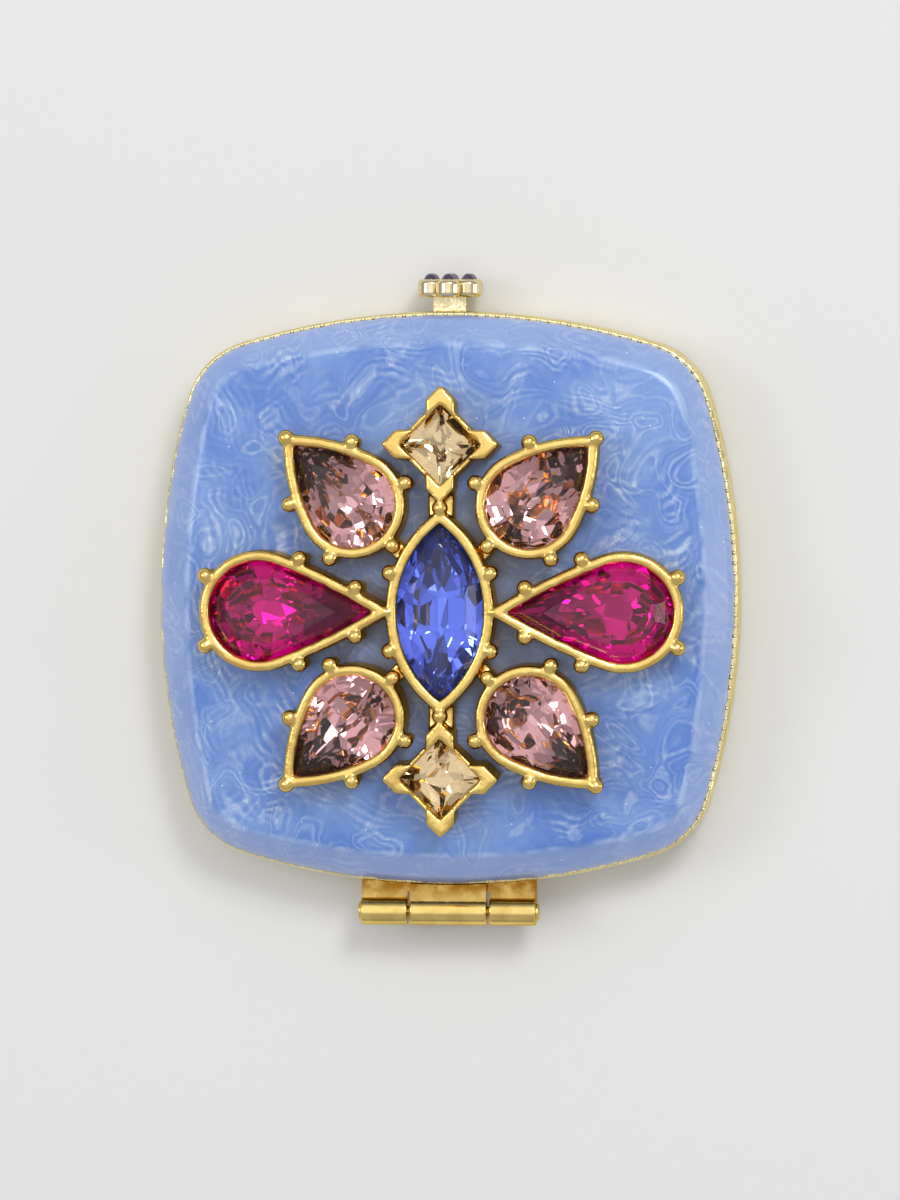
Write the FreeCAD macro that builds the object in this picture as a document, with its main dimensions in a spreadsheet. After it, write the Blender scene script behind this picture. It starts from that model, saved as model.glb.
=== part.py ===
import FreeCAD, Part
import math
import os
import re
import Sketcher
from FreeCAD import Placement, Rotation, Vector

# A jewelled compact mirror, closed: a cushion-shaped base with a mirror, a domed enamelled lid
# with a second mirror, a three-knuckle hinge at the back and a push-button catch at the front.
# Millimetres. +Z is up, the case rests on its flat base at Z = 0, the hinge is at +Y and the
# button at -Y. The origin is the middle of the underside.

# Each row is the size's name, its value and what it measures.
SIZES = [
    # Case outline, seen from above
    ("case_w", 64.3, "width of the case"),
    ("case_d", 63.5, "depth of the case without hinge and button"),
    ("side_r", 78.4, "radius of the shallow arc along each side"),
    ("corner_r", 8.85, "radius of each corner of the outline"),
    # Heights
    ("base_h", 6.0, "height of the base"),
    ("seam_gap", 0.25, "open seam between base and lid"),
    ("lip_t", 0.8, "height of the gold lip round the lid"),
    ("lip_edge_r", 0.3, "rounding of the lip's outer edges"),
    # Clearances
    ("bond_gap", 0.02, "glue or solder line between fixed pieces"),
    ("fit_gap", 0.1, "clearance round a loose fitting piece"),
    ("run_gap", 0.3, "clearance between pieces that move past each other"),
    ("cut_over", 2.0, "overrun of every cut past the face it leaves"),
    # Base shell
    ("base_floor", 1.2, "thickness of the base floor"),
    ("base_wall", 1.8, "wall of the base below the frame ledge"),
    ("base_mouth_wall", 1.0, "wall of the base beside the frame"),
    ("base_edge_r", 1.2, "rounding of the bottom edge"),
    ("base_rim_r", 0.3, "rounding of the top outer edge"),
    # Frames and mirrors
    ("frame_t", 0.65, "thickness of both mirror frames"),
    ("frame_sink", 0.05, "how far a frame lies below its rim"),
    ("mirror_margin", 6.75, "case outline to the visible mirror"),
    ("mirror_tuck", 0.55, "mirror glass hidden under its frame"),
    ("mirror_t", 1.3, "thickness of a mirror"),
    ("mirror_corner_r", 2.6, "radius of a mirror's corners"),
    ("window_corner_r", 2.1, "radius of a frame window's corners"),
    ("pad_corner_r", 1.5, "radius of the lid pad's corners"),
    ("base_pad_margin", 3.0, "case outline to the pad under the base mirror"),
    ("lid_pad_margin", 7.4, "case outline to the pad behind the lid mirror"),
    ("pad_notch_w", 10.8, "width of the pad's notch round the catch"),
    # Lid
    ("enamel_set", 0.35, "lip standing out round the enamel"),
    ("enamel_t", 0.7, "thickness of the enamel"),
    ("wall_rise", 1.55, "height of the lid's steep lower wall"),
    ("wall_run", 0.35, "inward run of that wall"),
    ("bevel_rise", 2.4, "height of the bevel above it"),
    ("bevel_run", 2.85, "inward run of the bevel"),
    ("lid_crown_h", 5.25, "top of the dome above the lip"),
    ("dome_rise", 1.67, "rise of the domed top over half the case"),
    ("ridge_r", 1.6, "rounding between bevel and dome"),
    ("shoulder_r", 1.2, "rounding between wall and bevel"),
    ("lid_mouth_wall", 2.6, "case outline to the lid frame"),
    ("lid_cavity_wall", 3.5, "case outline to the hollow behind the lid mirror"),
    ("lid_cavity_h", 3.0, "depth of that hollow"),
    # Hinge
    ("knuckle_r", 1.5, "radius of the hinge barrel"),
    ("hinge_reach", 1.55, "case wall to the barrel"),
    ("mid_knuckle_w", 8.6, "width of the lid's knuckle"),
    ("end_knuckle_w", 5.2, "width of each base knuckle"),
    ("knuckle_gap", 0.25, "gap between knuckles"),
    ("knuckle_edge_r", 0.25, "rounding of the barrel ends"),
    ("leaf_step", 0.35, "barrel end clear of its leaf's core"),
    ("leaf_inset", 0.05, "barrel end standing out beside its leaf"),
    ("pin_r", 0.6, "radius of the hinge pin"),
    ("pin_fixed_gap", 0.02, "clearance of the pin in the base knuckles"),
    ("pin_run_gap", 0.05, "clearance of the pin in the lid knuckle"),
    ("pin_head_r", 0.95, "radius of the pin's heads"),
    ("pin_head_t", 0.25, "thickness of each pin head"),
    ("pin_head_edge_r", 0.15, "rounding of the pin heads"),
    ("base_leaf_t", 1.2, "thickness of the base leaf"),
    ("base_leaf_drop", 0.1, "base rim to the top of its leaf"),
    ("base_strip_w", 0.85, "strip of leaf behind the lid's knuckle"),
    # Push button and catch
    ("press_travel", 1.0, "how far the button moves in"),
    ("stem_z", 4.1, "height of the button's middle"),
    ("stem_w", 3.6, "width of the button stem"),
    ("stem_t", 1.8, "thickness of the button stem"),
    ("stem_reach", 1.55, "stem showing between case and head"),
    ("head_t", 2.0, "thickness of the flower head"),
    ("petal_r", 1.4, "radius of a petal"),
    ("petal_ring_r", 2.4, "middle of the flower to the middle of a petal"),
    ("head_edge_r", 0.55, "rounding of the flower's edges"),
    ("bead_r", 0.8, "radius of a bead on the button"),
    ("bead_seat", 0.3, "depth of a bead's seat"),
    ("bead_rise", 0.65, "height of a bead over the petals"),
    ("plate_z", 2.3, "underside of the catch plate"),
    ("plate_t", 1.3, "thickness of the catch plate"),
    ("plate_w", 8.0, "width of the catch plate"),
    ("plate_front", 0.6, "bar of the plate in front of its window"),
    ("plate_side", 1.05, "bar of the plate beside its window"),
    ("plate_bar", 1.2, "bar of the plate that the hook holds"),
    ("stop_gap", 0.05, "plate to the wall that stops it"),
    ("guide_wall", 0.9, "wall of the guides beside the plate"),
    ("guide_lip", 0.8, "reach of the guides over and under the plate"),
    ("guide_flange_t", 0.5, "thickness of the guides over the plate"),
    ("hook_w", 5.0, "width of the lid hook"),
    ("hook_t", 0.7, "thickness of the lid hook"),
    ("hook_nose", 1.0, "reach of the hook's nose"),
    ("hook_nose_t", 0.75, "height of the hook's nose"),
    ("hook_tip_t", 0.25, "height of the nose at its tip"),
    ("hook_bite", 0.5, "overlap of nose and catch bar"),
    ("hook_flange_t", 0.65, "thickness of the hook's flange"),
    ("slot_room", 0.5, "room round the hook in the base frame"),
    ("spring_r", 0.7, "coil radius of the return spring"),
    ("spring_wire_r", 0.15, "radius of the spring wire"),
    ("spring_room", 4.4, "length of the spring between plate and seat"),
    ("spring_turns", 5, "turns of the spring"),
    ("seat_t", 1.2, "thickness of the spring seat"),
    ("seat_w", 3.2, "width of the spring seat"),
    ("seat_top_gap", 0.3, "spring seat to the mirror above it"),
    ("peg_tip_r", 0.4, "radius of the pegs inside the spring"),
    ("peg_tip_l", 0.9, "length of the pegs inside the spring"),
    # Jewel setting
    ("jewel_y", 1.1, "jewel setting's middle behind the case's middle"),
    ("collet_h", 4.4, "height of the stone collets"),
    ("collet_wall", 1.05, "wall of the collets"),
    ("collet_root", 1.0, "length of collet trimmed to the dome"),
    ("rim_r", 0.3, "rounding of the collet rims"),
    ("stone_gap", 0.08, "clearance round a stone"),
    ("stone_drop", 0.9, "collet rim down to a stone's girdle"),
    ("ledge_w", 0.75, "ledge that a stone sits on"),
    ("grain_r", 0.8, "radius of a grain"),
    ("grain_out", 0.55, "collet wall to the middle of a grain"),
    ("grain_drop", 0.45, "collet rim down to the middle of a grain"),
    ("post_r", 0.5, "radius of the post under a grain"),
    ("bridge_w", 2.6, "width of the bars to the square collets"),
    ("bridge_h", 2.6, "height of all the bars"),
    ("bridge_l", 4.4, "length of the bars to the square collets"),
    ("bridge_y", 12.3, "middle of those bars"),
    ("web_w", 1.5, "width of the bars to the pear collets"),
    ("web_l", 2.8, "length of those bars"),
    ("web_root", 0.6, "depth of those bars in the pear's wall"),
    ("foot_r", 0.8, "radius of the feet through the lid"),
    ("foot_y", 11.6, "setting's middle to a foot"),
    ("foot_l", 2.0, "length of a foot below the dome's top"),
    ("navette_l", 9.78, "half length of the pointed oval stone"),
    ("navette_w", 4.83, "half width of the pointed oval stone"),
    ("navette_grain_x", 5.55, "grains beside it, across"),
    ("navette_grain_y", 4.28, "grains beside it, along"),
    ("navette_end_y", 11.4, "grains off its points"),
    ("pear_round_r", 4.78, "round end of a pear stone"),
    ("pear_tip", 9.1, "middle of the round end to the point"),
    ("pear_side_r", 20.0, "radius of its sides"),
    ("pear_x", 9.64, "round end across from the setting's middle"),
    ("pear_y", 11.6, "round end along from the setting's middle"),
    ("drop_round_r", 5.5, "round end of a long drop stone"),
    ("drop_tip", 12.7, "middle of the round end to the point"),
    ("drop_side_r", 80.0, "radius of its sides"),
    ("drop_x", 19.8, "round end across from the setting's middle"),
    ("square_half", 4.45, "half diagonal of a square stone"),
    ("square_y", 18.1, "square stone along from the setting's middle"),
    ("square_wall", 0.4, "wall of a square collet"),
    ("claw_arm", 2.1, "length of a claw's arm along the collet"),
    ("claw_t", 0.95, "thickness of a claw"),
    ("claw_rise", 0.35, "claw standing above its collet"),
    ("claw_tip", 0.65, "claw reaching in over the stone's corner"),
    ("claw_tip_t", 0.55, "thickness of that reach"),
    # Stones
    ("girdle_t", 0.25, "straight edge of every stone"),
    ("crown_h", 1.5, "stone above its girdle"),
    ("pavilion_h", 3.1, "stone below its girdle"),
]

# Angles in degrees, counts and shares, which do not change with the case's size
PEAR_TURN = 45.0
PEAR_GRAIN_ANGLES = (0.0, 45.0, -45.0, 113.0, -113.0, 180.0)
DROP_GRAIN_ANGLES = (147.0, -147.0, 52.0, -52.0, 14.0, -14.0)
PETAL_COUNT = 6
PETAL_TURN = 30.0
CLAW_COUNT = 4
CROWN_ANGLE = 37.0
STAR_ANGLE = 21.0
HALF_ANGLE = 46.0
PAVILION_ANGLE = 35.0
PAVILION_HALF_ANGLE = 38.0
OVAL_FACET_COUNT = 12
SQUARE_FACET_COUNT = 4
SQUARE_FACET_TURN = 45.0
STAR_SHARE = 1.04
BEVEL_OVER_SHARE = 1.7
SHOULDER_STEP_COUNT = 4
SPRING_ARC_COUNT = 4

ALIASES = {alias for alias, size_value, note in SIZES}

doc = FreeCAD.newDocument("compact_mirror")
sheet = doc.addObject("Spreadsheet::Sheet", "Sizes")
for row, (alias, size_value, note) in enumerate(SIZES, start=1):
    sheet.set(f"A{row}", note)
    sheet.set(f"B{row}", str(size_value))
    sheet.setAlias(f"B{row}", alias)
doc.recompute()


# Places that several pieces share, written in the sheet's names
LID_Z = "(base_h + seam_gap)"
ENAMEL_Z = "(base_h + seam_gap + lip_t)"
DOME_TOP = "(base_h + seam_gap + lip_t + lid_crown_h)"
DOME_R = "(((case_w + case_d) / 4)^2 / (2 * dome_rise) + dome_rise / 2)"
DOME_MIDDLE = f"({DOME_TOP} - {DOME_R})"
BASE_LEDGE = "(base_h - frame_sink - frame_t)"
LID_LEDGE = "(base_h + seam_gap + frame_sink + frame_t)"
HINGE_Y = "(case_d / 2 + hinge_reach + knuckle_r)"
HINGE_Z = "(base_h + seam_gap / 2)"
HINGE_HALF = "(mid_knuckle_w / 2 + knuckle_gap + end_knuckle_w)"
# Distances in front of the origin, towards the button, along the catch
WALL_MIDDLE = "(side_r - case_d / 2)"
PLATE_FACE = f"(sqrt((side_r - base_wall)^2 - (plate_w / 2)^2) - {WALL_MIDDLE} - stop_gap)"
WINDOW_FRONT = f"({PLATE_FACE} - plate_front)"
HOOK_FRONT = f"({WINDOW_FRONT} - press_travel - run_gap)"
HOOK_BACK = f"({HOOK_FRONT} - hook_t)"
NOSE_END = f"({HOOK_BACK} - hook_nose)"
BAR_FRONT = f"({NOSE_END} + hook_bite)"
BAR_BACK = f"({BAR_FRONT} - plate_bar)"
SEAT_FACE = f"({BAR_BACK} - spring_room)"
HEAD_BACK = "(case_d / 2 + stem_reach)"
HEAD_FACE = f"({HEAD_BACK} + head_t)"
SPRING_Z = "(plate_z + plate_t / 2)"
# Heights inside a collet, above the dome
GIRDLE_Z = "(collet_h - stone_drop)"
LEDGE_DEPTH = f"(stone_drop + girdle_t + stone_gap + ledge_w * {math.tan(math.radians(PAVILION_HALF_ANGLE))})"


def sized(text):
    """Turn a sum written in the sheet's names into an expression that any object can hold."""
    return re.sub(r"[a-z]\w*", lambda word: "Sizes." + word[0] if word[0] in ALIASES else word[0], text)


def mm(text):
    """Value of a sum written in the sheet's names."""
    return float(sheet.evalExpression(sized(text)))


def bind(item, prop, text):
    """Tie one property of an object to the sheet."""
    item.setExpression(prop, sized(text))
    return item


def new_body(name):
    return doc.addObject("PartDesign::Body", name)


def new_sketch(body, name, role, level):
    """Empty sketch on one of the body's origin planes, moved along its normal to a level."""
    sketch = body.newObject("Sketcher::SketchObject", name)
    plane = next(item for item in body.Origin.OriginFeatures if item.Role == role)
    sketch.AttachmentSupport = [(plane, "")]
    sketch.MapMode = "FlatFace"
    bind(sketch, "AttachmentOffset.Base.z", level)
    return sketch


def dimension(sketch, label, text, kind, *points):
    """Add one named dimension to a sketch and tie it to the sheet."""
    index = sketch.addConstraint(Sketcher.Constraint(kind, *points, mm(text)))
    sketch.renameConstraint(index, label)
    sketch.setExpression("Constraints." + label, sized(text))


def fix_point(sketch, label, geometry, end, x_text, y_text):
    """Place a point of a sketch at two sums written in the sheet's names."""
    for kind, axis, text in (("DistanceX", -2, x_text), ("DistanceY", -1, y_text)):
        place = mm(text)
        if place == 0:
            sketch.addConstraint(Sketcher.Constraint("PointOnObject", geometry, end, axis))
        elif place > 0:
            dimension(sketch, f"{label}_{kind}", text, kind, -1, 1, geometry, end)
        else:
            dimension(sketch, f"{label}_{kind}", f"-({text})", kind, geometry, end, -1, 1)


def polygon_sketch(body, name, role, level, points):
    """Closed outline of straight lines through points given as pairs of sums."""
    sketch = new_sketch(body, name, role, level)
    corners = [Vector(mm(x_text), mm(y_text), 0) for x_text, y_text in points]
    for start, end in zip(corners, corners[1:] + corners[:1]):
        sketch.addGeometry(Part.LineSegment(start, end), False)
    for index, (x_text, y_text) in enumerate(points):
        following = (index + 1) % len(points)
        sketch.addConstraint(Sketcher.Constraint("Coincident", index, 2, following, 1))
        fix_point(sketch, f"p{index}", index, 1, x_text, y_text)
    return sketch


def rectangle_sketch(body, name, role, level, x_low, x_high, y_low, y_high):
    corners = [(x_low, y_low), (x_high, y_low), (x_high, y_high), (x_low, y_high)]
    return polygon_sketch(body, name, role, level, corners)


def circle_sketch(body, name, role, level, circles):
    """Circles given as the sums for their middle and radius."""
    sketch = new_sketch(body, name, role, level)
    for index, (x_text, y_text, r_text) in enumerate(circles):
        middle = Vector(mm(x_text), mm(y_text), 0)
        sketch.addGeometry(Part.Circle(middle, Vector(0, 0, 1), mm(r_text)), False)
        fix_point(sketch, f"c{index}", index, 3, x_text, y_text)
        dimension(sketch, f"r{index}", r_text, "Radius", index)
    return sketch


def cushion_sketch(body, name, level, inset, corner_text=None):
    """Case outline drawn further in: four shallow side arcs joined by four corner arcs, which keep
    the case's own centres unless they have a radius of their own."""
    sketch = new_sketch(body, name, "XY_Plane", level)
    corner_text = corner_text or f"corner_r - ({inset})"
    side, corner = mm(f"side_r - ({inset})"), mm(corner_text)
    reach_x, reach_y = mm("side_r - case_w / 2"), mm("side_r - case_d / 2")
    arm = side - corner
    lean = reach_y / reach_x
    shift = (reach_y ** 2 - reach_x ** 2) / (2 * reach_x) + reach_x
    square = 1 + lean ** 2
    corner_y = (math.sqrt((lean * shift) ** 2 - square * (shift ** 2 - arm ** 2)) - lean * shift) / square
    corner_x = shift - reach_x + lean * corner_y
    low, high = math.atan2(corner_y, corner_x + reach_x), math.atan2(corner_y + reach_y, corner_x)
    half, full = math.pi, 2 * math.pi
    arcs = [
        (-reach_x, 0, side, -low, low),
        (corner_x, corner_y, corner, low, high),
        (0, -reach_y, side, high, half - high),
        (-corner_x, corner_y, corner, half - high, half - low),
        (reach_x, 0, side, half - low, half + low),
        (-corner_x, -corner_y, corner, half + low, half + high),
        (0, reach_y, side, half + high, full - high),
        (corner_x, -corner_y, corner, full - high, full - low),
    ]
    for x, y, radius, start, end in arcs:
        circle = Part.Circle(Vector(x, y, 0), Vector(0, 0, 1), radius)
        sketch.addGeometry(Part.ArcOfCircle(circle, start, end), False)
    for index in range(len(arcs)):
        following = (index + 1) % len(arcs)
        sketch.addConstraint(Sketcher.Constraint("Tangent", index, 2, following, 1))
    for index in (2, 4, 6):
        sketch.addConstraint(Sketcher.Constraint("Equal", 0, index))
    for index in (3, 5, 7):
        sketch.addConstraint(Sketcher.Constraint("Equal", 1, index))
    for index, axis in ((0, -1), (4, -1), (2, -2), (6, -2)):
        sketch.addConstraint(Sketcher.Constraint("PointOnObject", index, 3, axis))
    dimension(sketch, "side", f"side_r - ({inset})", "Radius", 0)
    dimension(sketch, "corner", corner_text, "Radius", 1)
    dimension(sketch, "right", "side_r - case_w / 2", "DistanceX", 0, 3, -1, 1)
    dimension(sketch, "left", "side_r - case_w / 2", "DistanceX", -1, 1, 4, 3)
    dimension(sketch, "back", "side_r - case_d / 2", "DistanceY", 2, 3, -1, 1)
    dimension(sketch, "front", "side_r - case_d / 2", "DistanceY", -1, 1, 6, 3)
    return sketch


def drop_centre(round_r, tip, side_r):
    """Middle of the arc along a drop's upper side, as two sums: the arc runs on from the round end
    without a corner and ends at the point."""
    across = f"(({tip})^2 - 2 * {side_r} * {round_r} + {round_r}^2) / (2 * {tip})"
    along = f"sqrt(({side_r} - {round_r})^2 - ({across})^2)"
    return f"({across})", f"({along})"


def drop_arcs(round_r, tip, side_r, offset):
    """The three arcs of a drop drawn wider by an offset: round end, upper side, lower side."""
    across, along = (mm(text) for text in drop_centre(round_r, tip, side_r))
    round_out, side_out = mm(f"{round_r} + ({offset})"), mm(f"{side_r} + ({offset})")
    point = across + math.sqrt(side_out ** 2 - along ** 2)
    turn = math.atan2(along, across)
    point_turn = math.atan2(along, point - across)
    axis = Vector(0, 0, 1)
    upper = Part.Circle(Vector(across, -along, 0), axis, side_out)
    lower = Part.Circle(Vector(across, along, 0), axis, side_out)
    end = Part.Circle(Vector(0, 0, 0), axis, round_out)
    join = math.pi - turn
    return [
        Part.ArcOfCircle(end, join, 2 * math.pi - join),
        Part.ArcOfCircle(lower, 2 * math.pi - join, 2 * math.pi - point_turn),
        Part.ArcOfCircle(upper, point_turn, join),
    ]


def drop_sketch(body, name, level, sizes, offset):
    """Drop outline: round end about the origin and a point along +X."""
    round_r, tip, side_r = sizes
    across, along = drop_centre(round_r, tip, side_r)
    sketch = new_sketch(body, name, "XY_Plane", level)
    for arc in drop_arcs(round_r, tip, side_r, offset):
        sketch.addGeometry(arc, False)
    sketch.addConstraint(Sketcher.Constraint("Tangent", 0, 2, 1, 1))
    sketch.addConstraint(Sketcher.Constraint("Coincident", 1, 2, 2, 1))
    sketch.addConstraint(Sketcher.Constraint("Tangent", 2, 2, 0, 1))
    sketch.addConstraint(Sketcher.Constraint("Coincident", 0, 3, -1, 1))
    sketch.addConstraint(Sketcher.Constraint("Equal", 1, 2))
    dimension(sketch, "round_end", f"{round_r} + ({offset})", "Radius", 0)
    dimension(sketch, "sides", f"{side_r} + ({offset})", "Radius", 1)
    fix_point(sketch, "point", 1, 2, f"{across} + sqrt(({side_r} + ({offset}))^2 - {along}^2)", "0")
    return sketch


def navette_arcs(offset):
    """The two arcs of the pointed oval drawn wider by an offset, points along Y."""
    side = mm(f"(navette_l^2 + navette_w^2) / (2 * navette_w) + ({offset})")
    reach = mm("(navette_l^2 - navette_w^2) / (2 * navette_w)")
    turn = math.acos(reach / side)
    axis = Vector(0, 0, 1)
    right = Part.Circle(Vector(-reach, 0, 0), axis, side)
    left = Part.Circle(Vector(reach, 0, 0), axis, side)
    return [
        Part.ArcOfCircle(right, -turn, turn),
        Part.ArcOfCircle(left, math.pi - turn, math.pi + turn),
    ]


def navette_sketch(body, name, level, offset):
    sketch = new_sketch(body, name, "XY_Plane", level)
    for arc in navette_arcs(offset):
        sketch.addGeometry(arc, False)
    side = f"((navette_l^2 + navette_w^2) / (2 * navette_w) + ({offset}))"
    point = f"sqrt({side}^2 - ((navette_l^2 - navette_w^2) / (2 * navette_w))^2)"
    sketch.addConstraint(Sketcher.Constraint("Coincident", 0, 2, 1, 1))
    sketch.addConstraint(Sketcher.Constraint("Coincident", 1, 2, 0, 1))
    sketch.addConstraint(Sketcher.Constraint("Equal", 0, 1))
    dimension(sketch, "side", side, "Radius", 0)
    fix_point(sketch, "back", 0, 2, "0", point)
    fix_point(sketch, "front", 0, 1, "0", f"-({point})")
    return sketch


def square_points(offset):
    """Corners of a square set on its corner, drawn wider by an offset along its sides' normals."""
    half = f"(square_half + ({offset}) * sqrt(2))"
    return [(half, "0"), ("0", half), (f"-{half}", "0"), ("0", f"-{half}")]


def pad(body, name, sketch, length):
    """Raise a sketch along its plane's normal."""
    feature = body.newObject("PartDesign::Pad", name)
    feature.Profile = sketch
    bind(feature, "Length", length)
    doc.recompute()
    return feature


def pocket(body, name, sketch, length):
    """Cut a sketch down against its plane's normal, and make sure that it met the solid."""
    before = body.Shape.Volume
    feature = body.newObject("PartDesign::Pocket", name)
    feature.Profile = sketch
    bind(feature, "Length", length)
    doc.recompute()
    if not body.Shape.Volume < before:
        raise RuntimeError(f"{body.Name}: {name} cuts nothing")
    return feature


def fillet(body, name, radius, chosen):
    """Round the edges of the body for which chosen(edge) is true."""
    doc.recompute()
    edges = [f"Edge{number}" for number, edge in enumerate(body.Tip.Shape.Edges, start=1) if chosen(edge)]
    if not edges:
        raise RuntimeError(f"{body.Name}: {name} finds no edge")
    base = body.Tip
    feature = body.newObject("PartDesign::Fillet", name)
    feature.Base = (base, edges)
    bind(feature, "Radius", radius)
    doc.recompute()
    if "Invalid" in feature.State:
        raise RuntimeError(f"{body.Name}: {name} fails on {len(edges)} edges")
    return feature


def at_height(text):
    """Choose the edges that lie in the level plane at a height."""
    height = mm(text)

    def chosen(edge):
        box = edge.BoundBox
        return max(abs(box.ZMin - height), abs(box.ZMax - height)) < mm("bond_gap") / 2
    return chosen


def is_level(edge):
    """Choose the edges that lie in any level plane."""
    return edge.BoundBox.ZLength < mm("bond_gap") / 2


def combine(kind, name, shapes):
    """Boolean of whole pieces: a fuse of many, or the first cut by the second."""
    item = doc.addObject(kind, name)
    if kind == "Part::MultiFuse":
        item.Shapes = shapes
    else:
        item.Base, item.Tool = shapes
    return item


def mirrored(source, name, normal):
    """Copy of a piece on the other side of the jewel setting's middle."""
    item = doc.addObject("Part::Mirroring", name)
    item.Source = source
    item.Normal = normal
    bind(item, "Base.y", "jewel_y")
    return item


# Base

def base_shell():
    """Cast tray: flat floor, ledge for the mirror frame and a slot for the button stem."""
    body = new_body("base_shell")
    pad(body, "outline", cushion_sketch(body, "outline_plan", "0", "0"), "base_h")
    fillet(body, "bottom_edge", "base_edge_r", at_height("0"))
    fillet(body, "rim_edge", "base_rim_r", at_height("base_h"))
    mouth = cushion_sketch(body, "mouth_plan", "base_h", "base_mouth_wall")
    pocket(body, "mouth", mouth, f"base_h - {BASE_LEDGE}")
    hollow = cushion_sketch(body, "hollow_plan", "base_h", "base_wall")
    pocket(body, "hollow", hollow, "base_h - base_floor")
    half_w, half_t = "(stem_w / 2 + fit_gap)", "(stem_t / 2 + fit_gap)"
    slot = rectangle_sketch(body, "stem_slot_plan", "XZ_Plane", "case_d / 2 - base_wall - cut_over",
                            f"-{half_w}", half_w, f"stem_z - {half_t}", f"stem_z + {half_t}")
    pocket_forward(body, "stem_slot", slot, "base_wall + 2 * cut_over")
    return body


def pocket_forward(body, name, sketch, length):
    """Cut a sketch along its plane's normal, towards the button."""
    before = body.Shape.Volume
    feature = body.newObject("PartDesign::Pocket", name)
    feature.Profile = sketch
    feature.Reversed = True
    bind(feature, "Length", length)
    doc.recompute()
    if not body.Shape.Volume < before:
        raise RuntimeError(f"{body.Name}: {name} cuts nothing")
    return feature


def base_frame():
    """Flat gold frame over the base mirror, with a slot that the lid hook drops through."""
    body = new_body("base_frame")
    plan = cushion_sketch(body, "plan", BASE_LEDGE, "base_mouth_wall + fit_gap")
    pad(body, "plate", plan, "frame_t")
    window = cushion_sketch(body, "window_plan", f"{BASE_LEDGE} + frame_t", "mirror_margin", "window_corner_r")
    pocket(body, "window", window, "frame_t + cut_over")
    half = "(hook_w / 2 + slot_room)"
    slot = rectangle_sketch(body, "hook_slot_plan", "XY_Plane", f"{BASE_LEDGE} + frame_t",
                            f"-{half}", half, f"-({HOOK_FRONT} + slot_room)", f"-({NOSE_END} - slot_room)")
    pocket(body, "hook_slot", slot, "frame_t + cut_over")
    return body


def mirror(name, level):
    """Plain silvered glass cut to the case's outline."""
    body = new_body(name)
    plan = cushion_sketch(body, "plan", level, "mirror_margin - mirror_tuck", "mirror_corner_r")
    pad(body, "glass", plan, "mirror_t")
    return body


def base_pad():
    """Card pad that the base mirror lies on, notched round the catch."""
    body = new_body("base_mirror_pad")
    plan = cushion_sketch(body, "plan", "base_floor", "base_pad_margin")
    thickness = f"{BASE_LEDGE} - mirror_t - base_floor"
    pad(body, "card", plan, thickness)
    notch = rectangle_sketch(body, "notch_plan", "XY_Plane", f"{BASE_LEDGE} - mirror_t",
                             "-pad_notch_w / 2", "pad_notch_w / 2",
                             "-(case_d / 2)", f"-({SEAT_FACE} - seat_t - run_gap)")
    pocket(body, "notch", notch, thickness + " + cut_over")
    return body


# Hinge

def knuckle(body, name, x_low, width):
    """One length of hinge barrel."""
    ring = circle_sketch(body, name + "_plan", "YZ_Plane", x_low, [(HINGE_Y, HINGE_Z, "knuckle_r")])
    pad(body, name, ring, width)


def bore(body, clearance):
    """Hole for the hinge pin right through a leaf's knuckles."""
    hole = circle_sketch(body, "bore_plan", "YZ_Plane", f"{HINGE_HALF} + cut_over",
                         [(HINGE_Y, HINGE_Z, f"pin_r + {clearance}")])
    pocket(body, "bore", hole, f"2 * ({HINGE_HALF} + cut_over)")


def barrel_end(edge):
    """Choose the whole circles at the ends of the knuckles."""
    return edge.isClosed()


def base_leaf_plate(body, name, inner, step):
    """Plate of the base leaf with an arm to each knuckle, whose ends stand out by a step."""
    root = "(case_d / 2 - base_wall)"
    strip = "(case_d / 2 + base_strip_w)"
    near, far = f"({inner} + {step})", f"({HINGE_HALF} - {step})"
    points = [
        (f"-{far}", root), (far, root), (far, HINGE_Y), (near, HINGE_Y),
        (near, strip), (f"-{near}", strip), (f"-{near}", HINGE_Y), (f"-{far}", HINGE_Y),
    ]
    level = "base_h - base_leaf_drop - base_leaf_t"
    pad(body, name, polygon_sketch(body, name + "_plan", "XY_Plane", level, points), "base_leaf_t")


def hinge_base_leaf():
    """Leaf soldered to the back of the base, with a knuckle at each end. Its core is drawn in so
    that the barrel ends can be rounded all round before the leaf takes its full width."""
    body = new_body("hinge_base_leaf")
    inner = "(mid_knuckle_w / 2 + knuckle_gap)"
    base_leaf_plate(body, "core", inner, "leaf_step")
    knuckle(body, "right_knuckle", inner, "end_knuckle_w")
    knuckle(body, "left_knuckle", f"-{HINGE_HALF}", "end_knuckle_w")
    fillet(body, "barrel_edges", "knuckle_edge_r", barrel_end)
    base_leaf_plate(body, "leaf", inner, "leaf_inset")
    bore(body, "pin_fixed_gap")
    seat = cushion_sketch(body, "seat_plan", HINGE_Z, "-bond_gap")
    pocket(body, "seat", seat, "base_h")
    return body


def lid_leaf_plate(body, name, step):
    """Plate of the lid leaf, whose knuckle stands out by a step at each end."""
    half = f"(mid_knuckle_w / 2 - {step})"
    plan = rectangle_sketch(body, name + "_plan", "XY_Plane", LID_Z, f"-{half}", half,
                            "case_d / 2 - base_wall", HINGE_Y)
    pad(body, name, plan, "lip_t")


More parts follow.
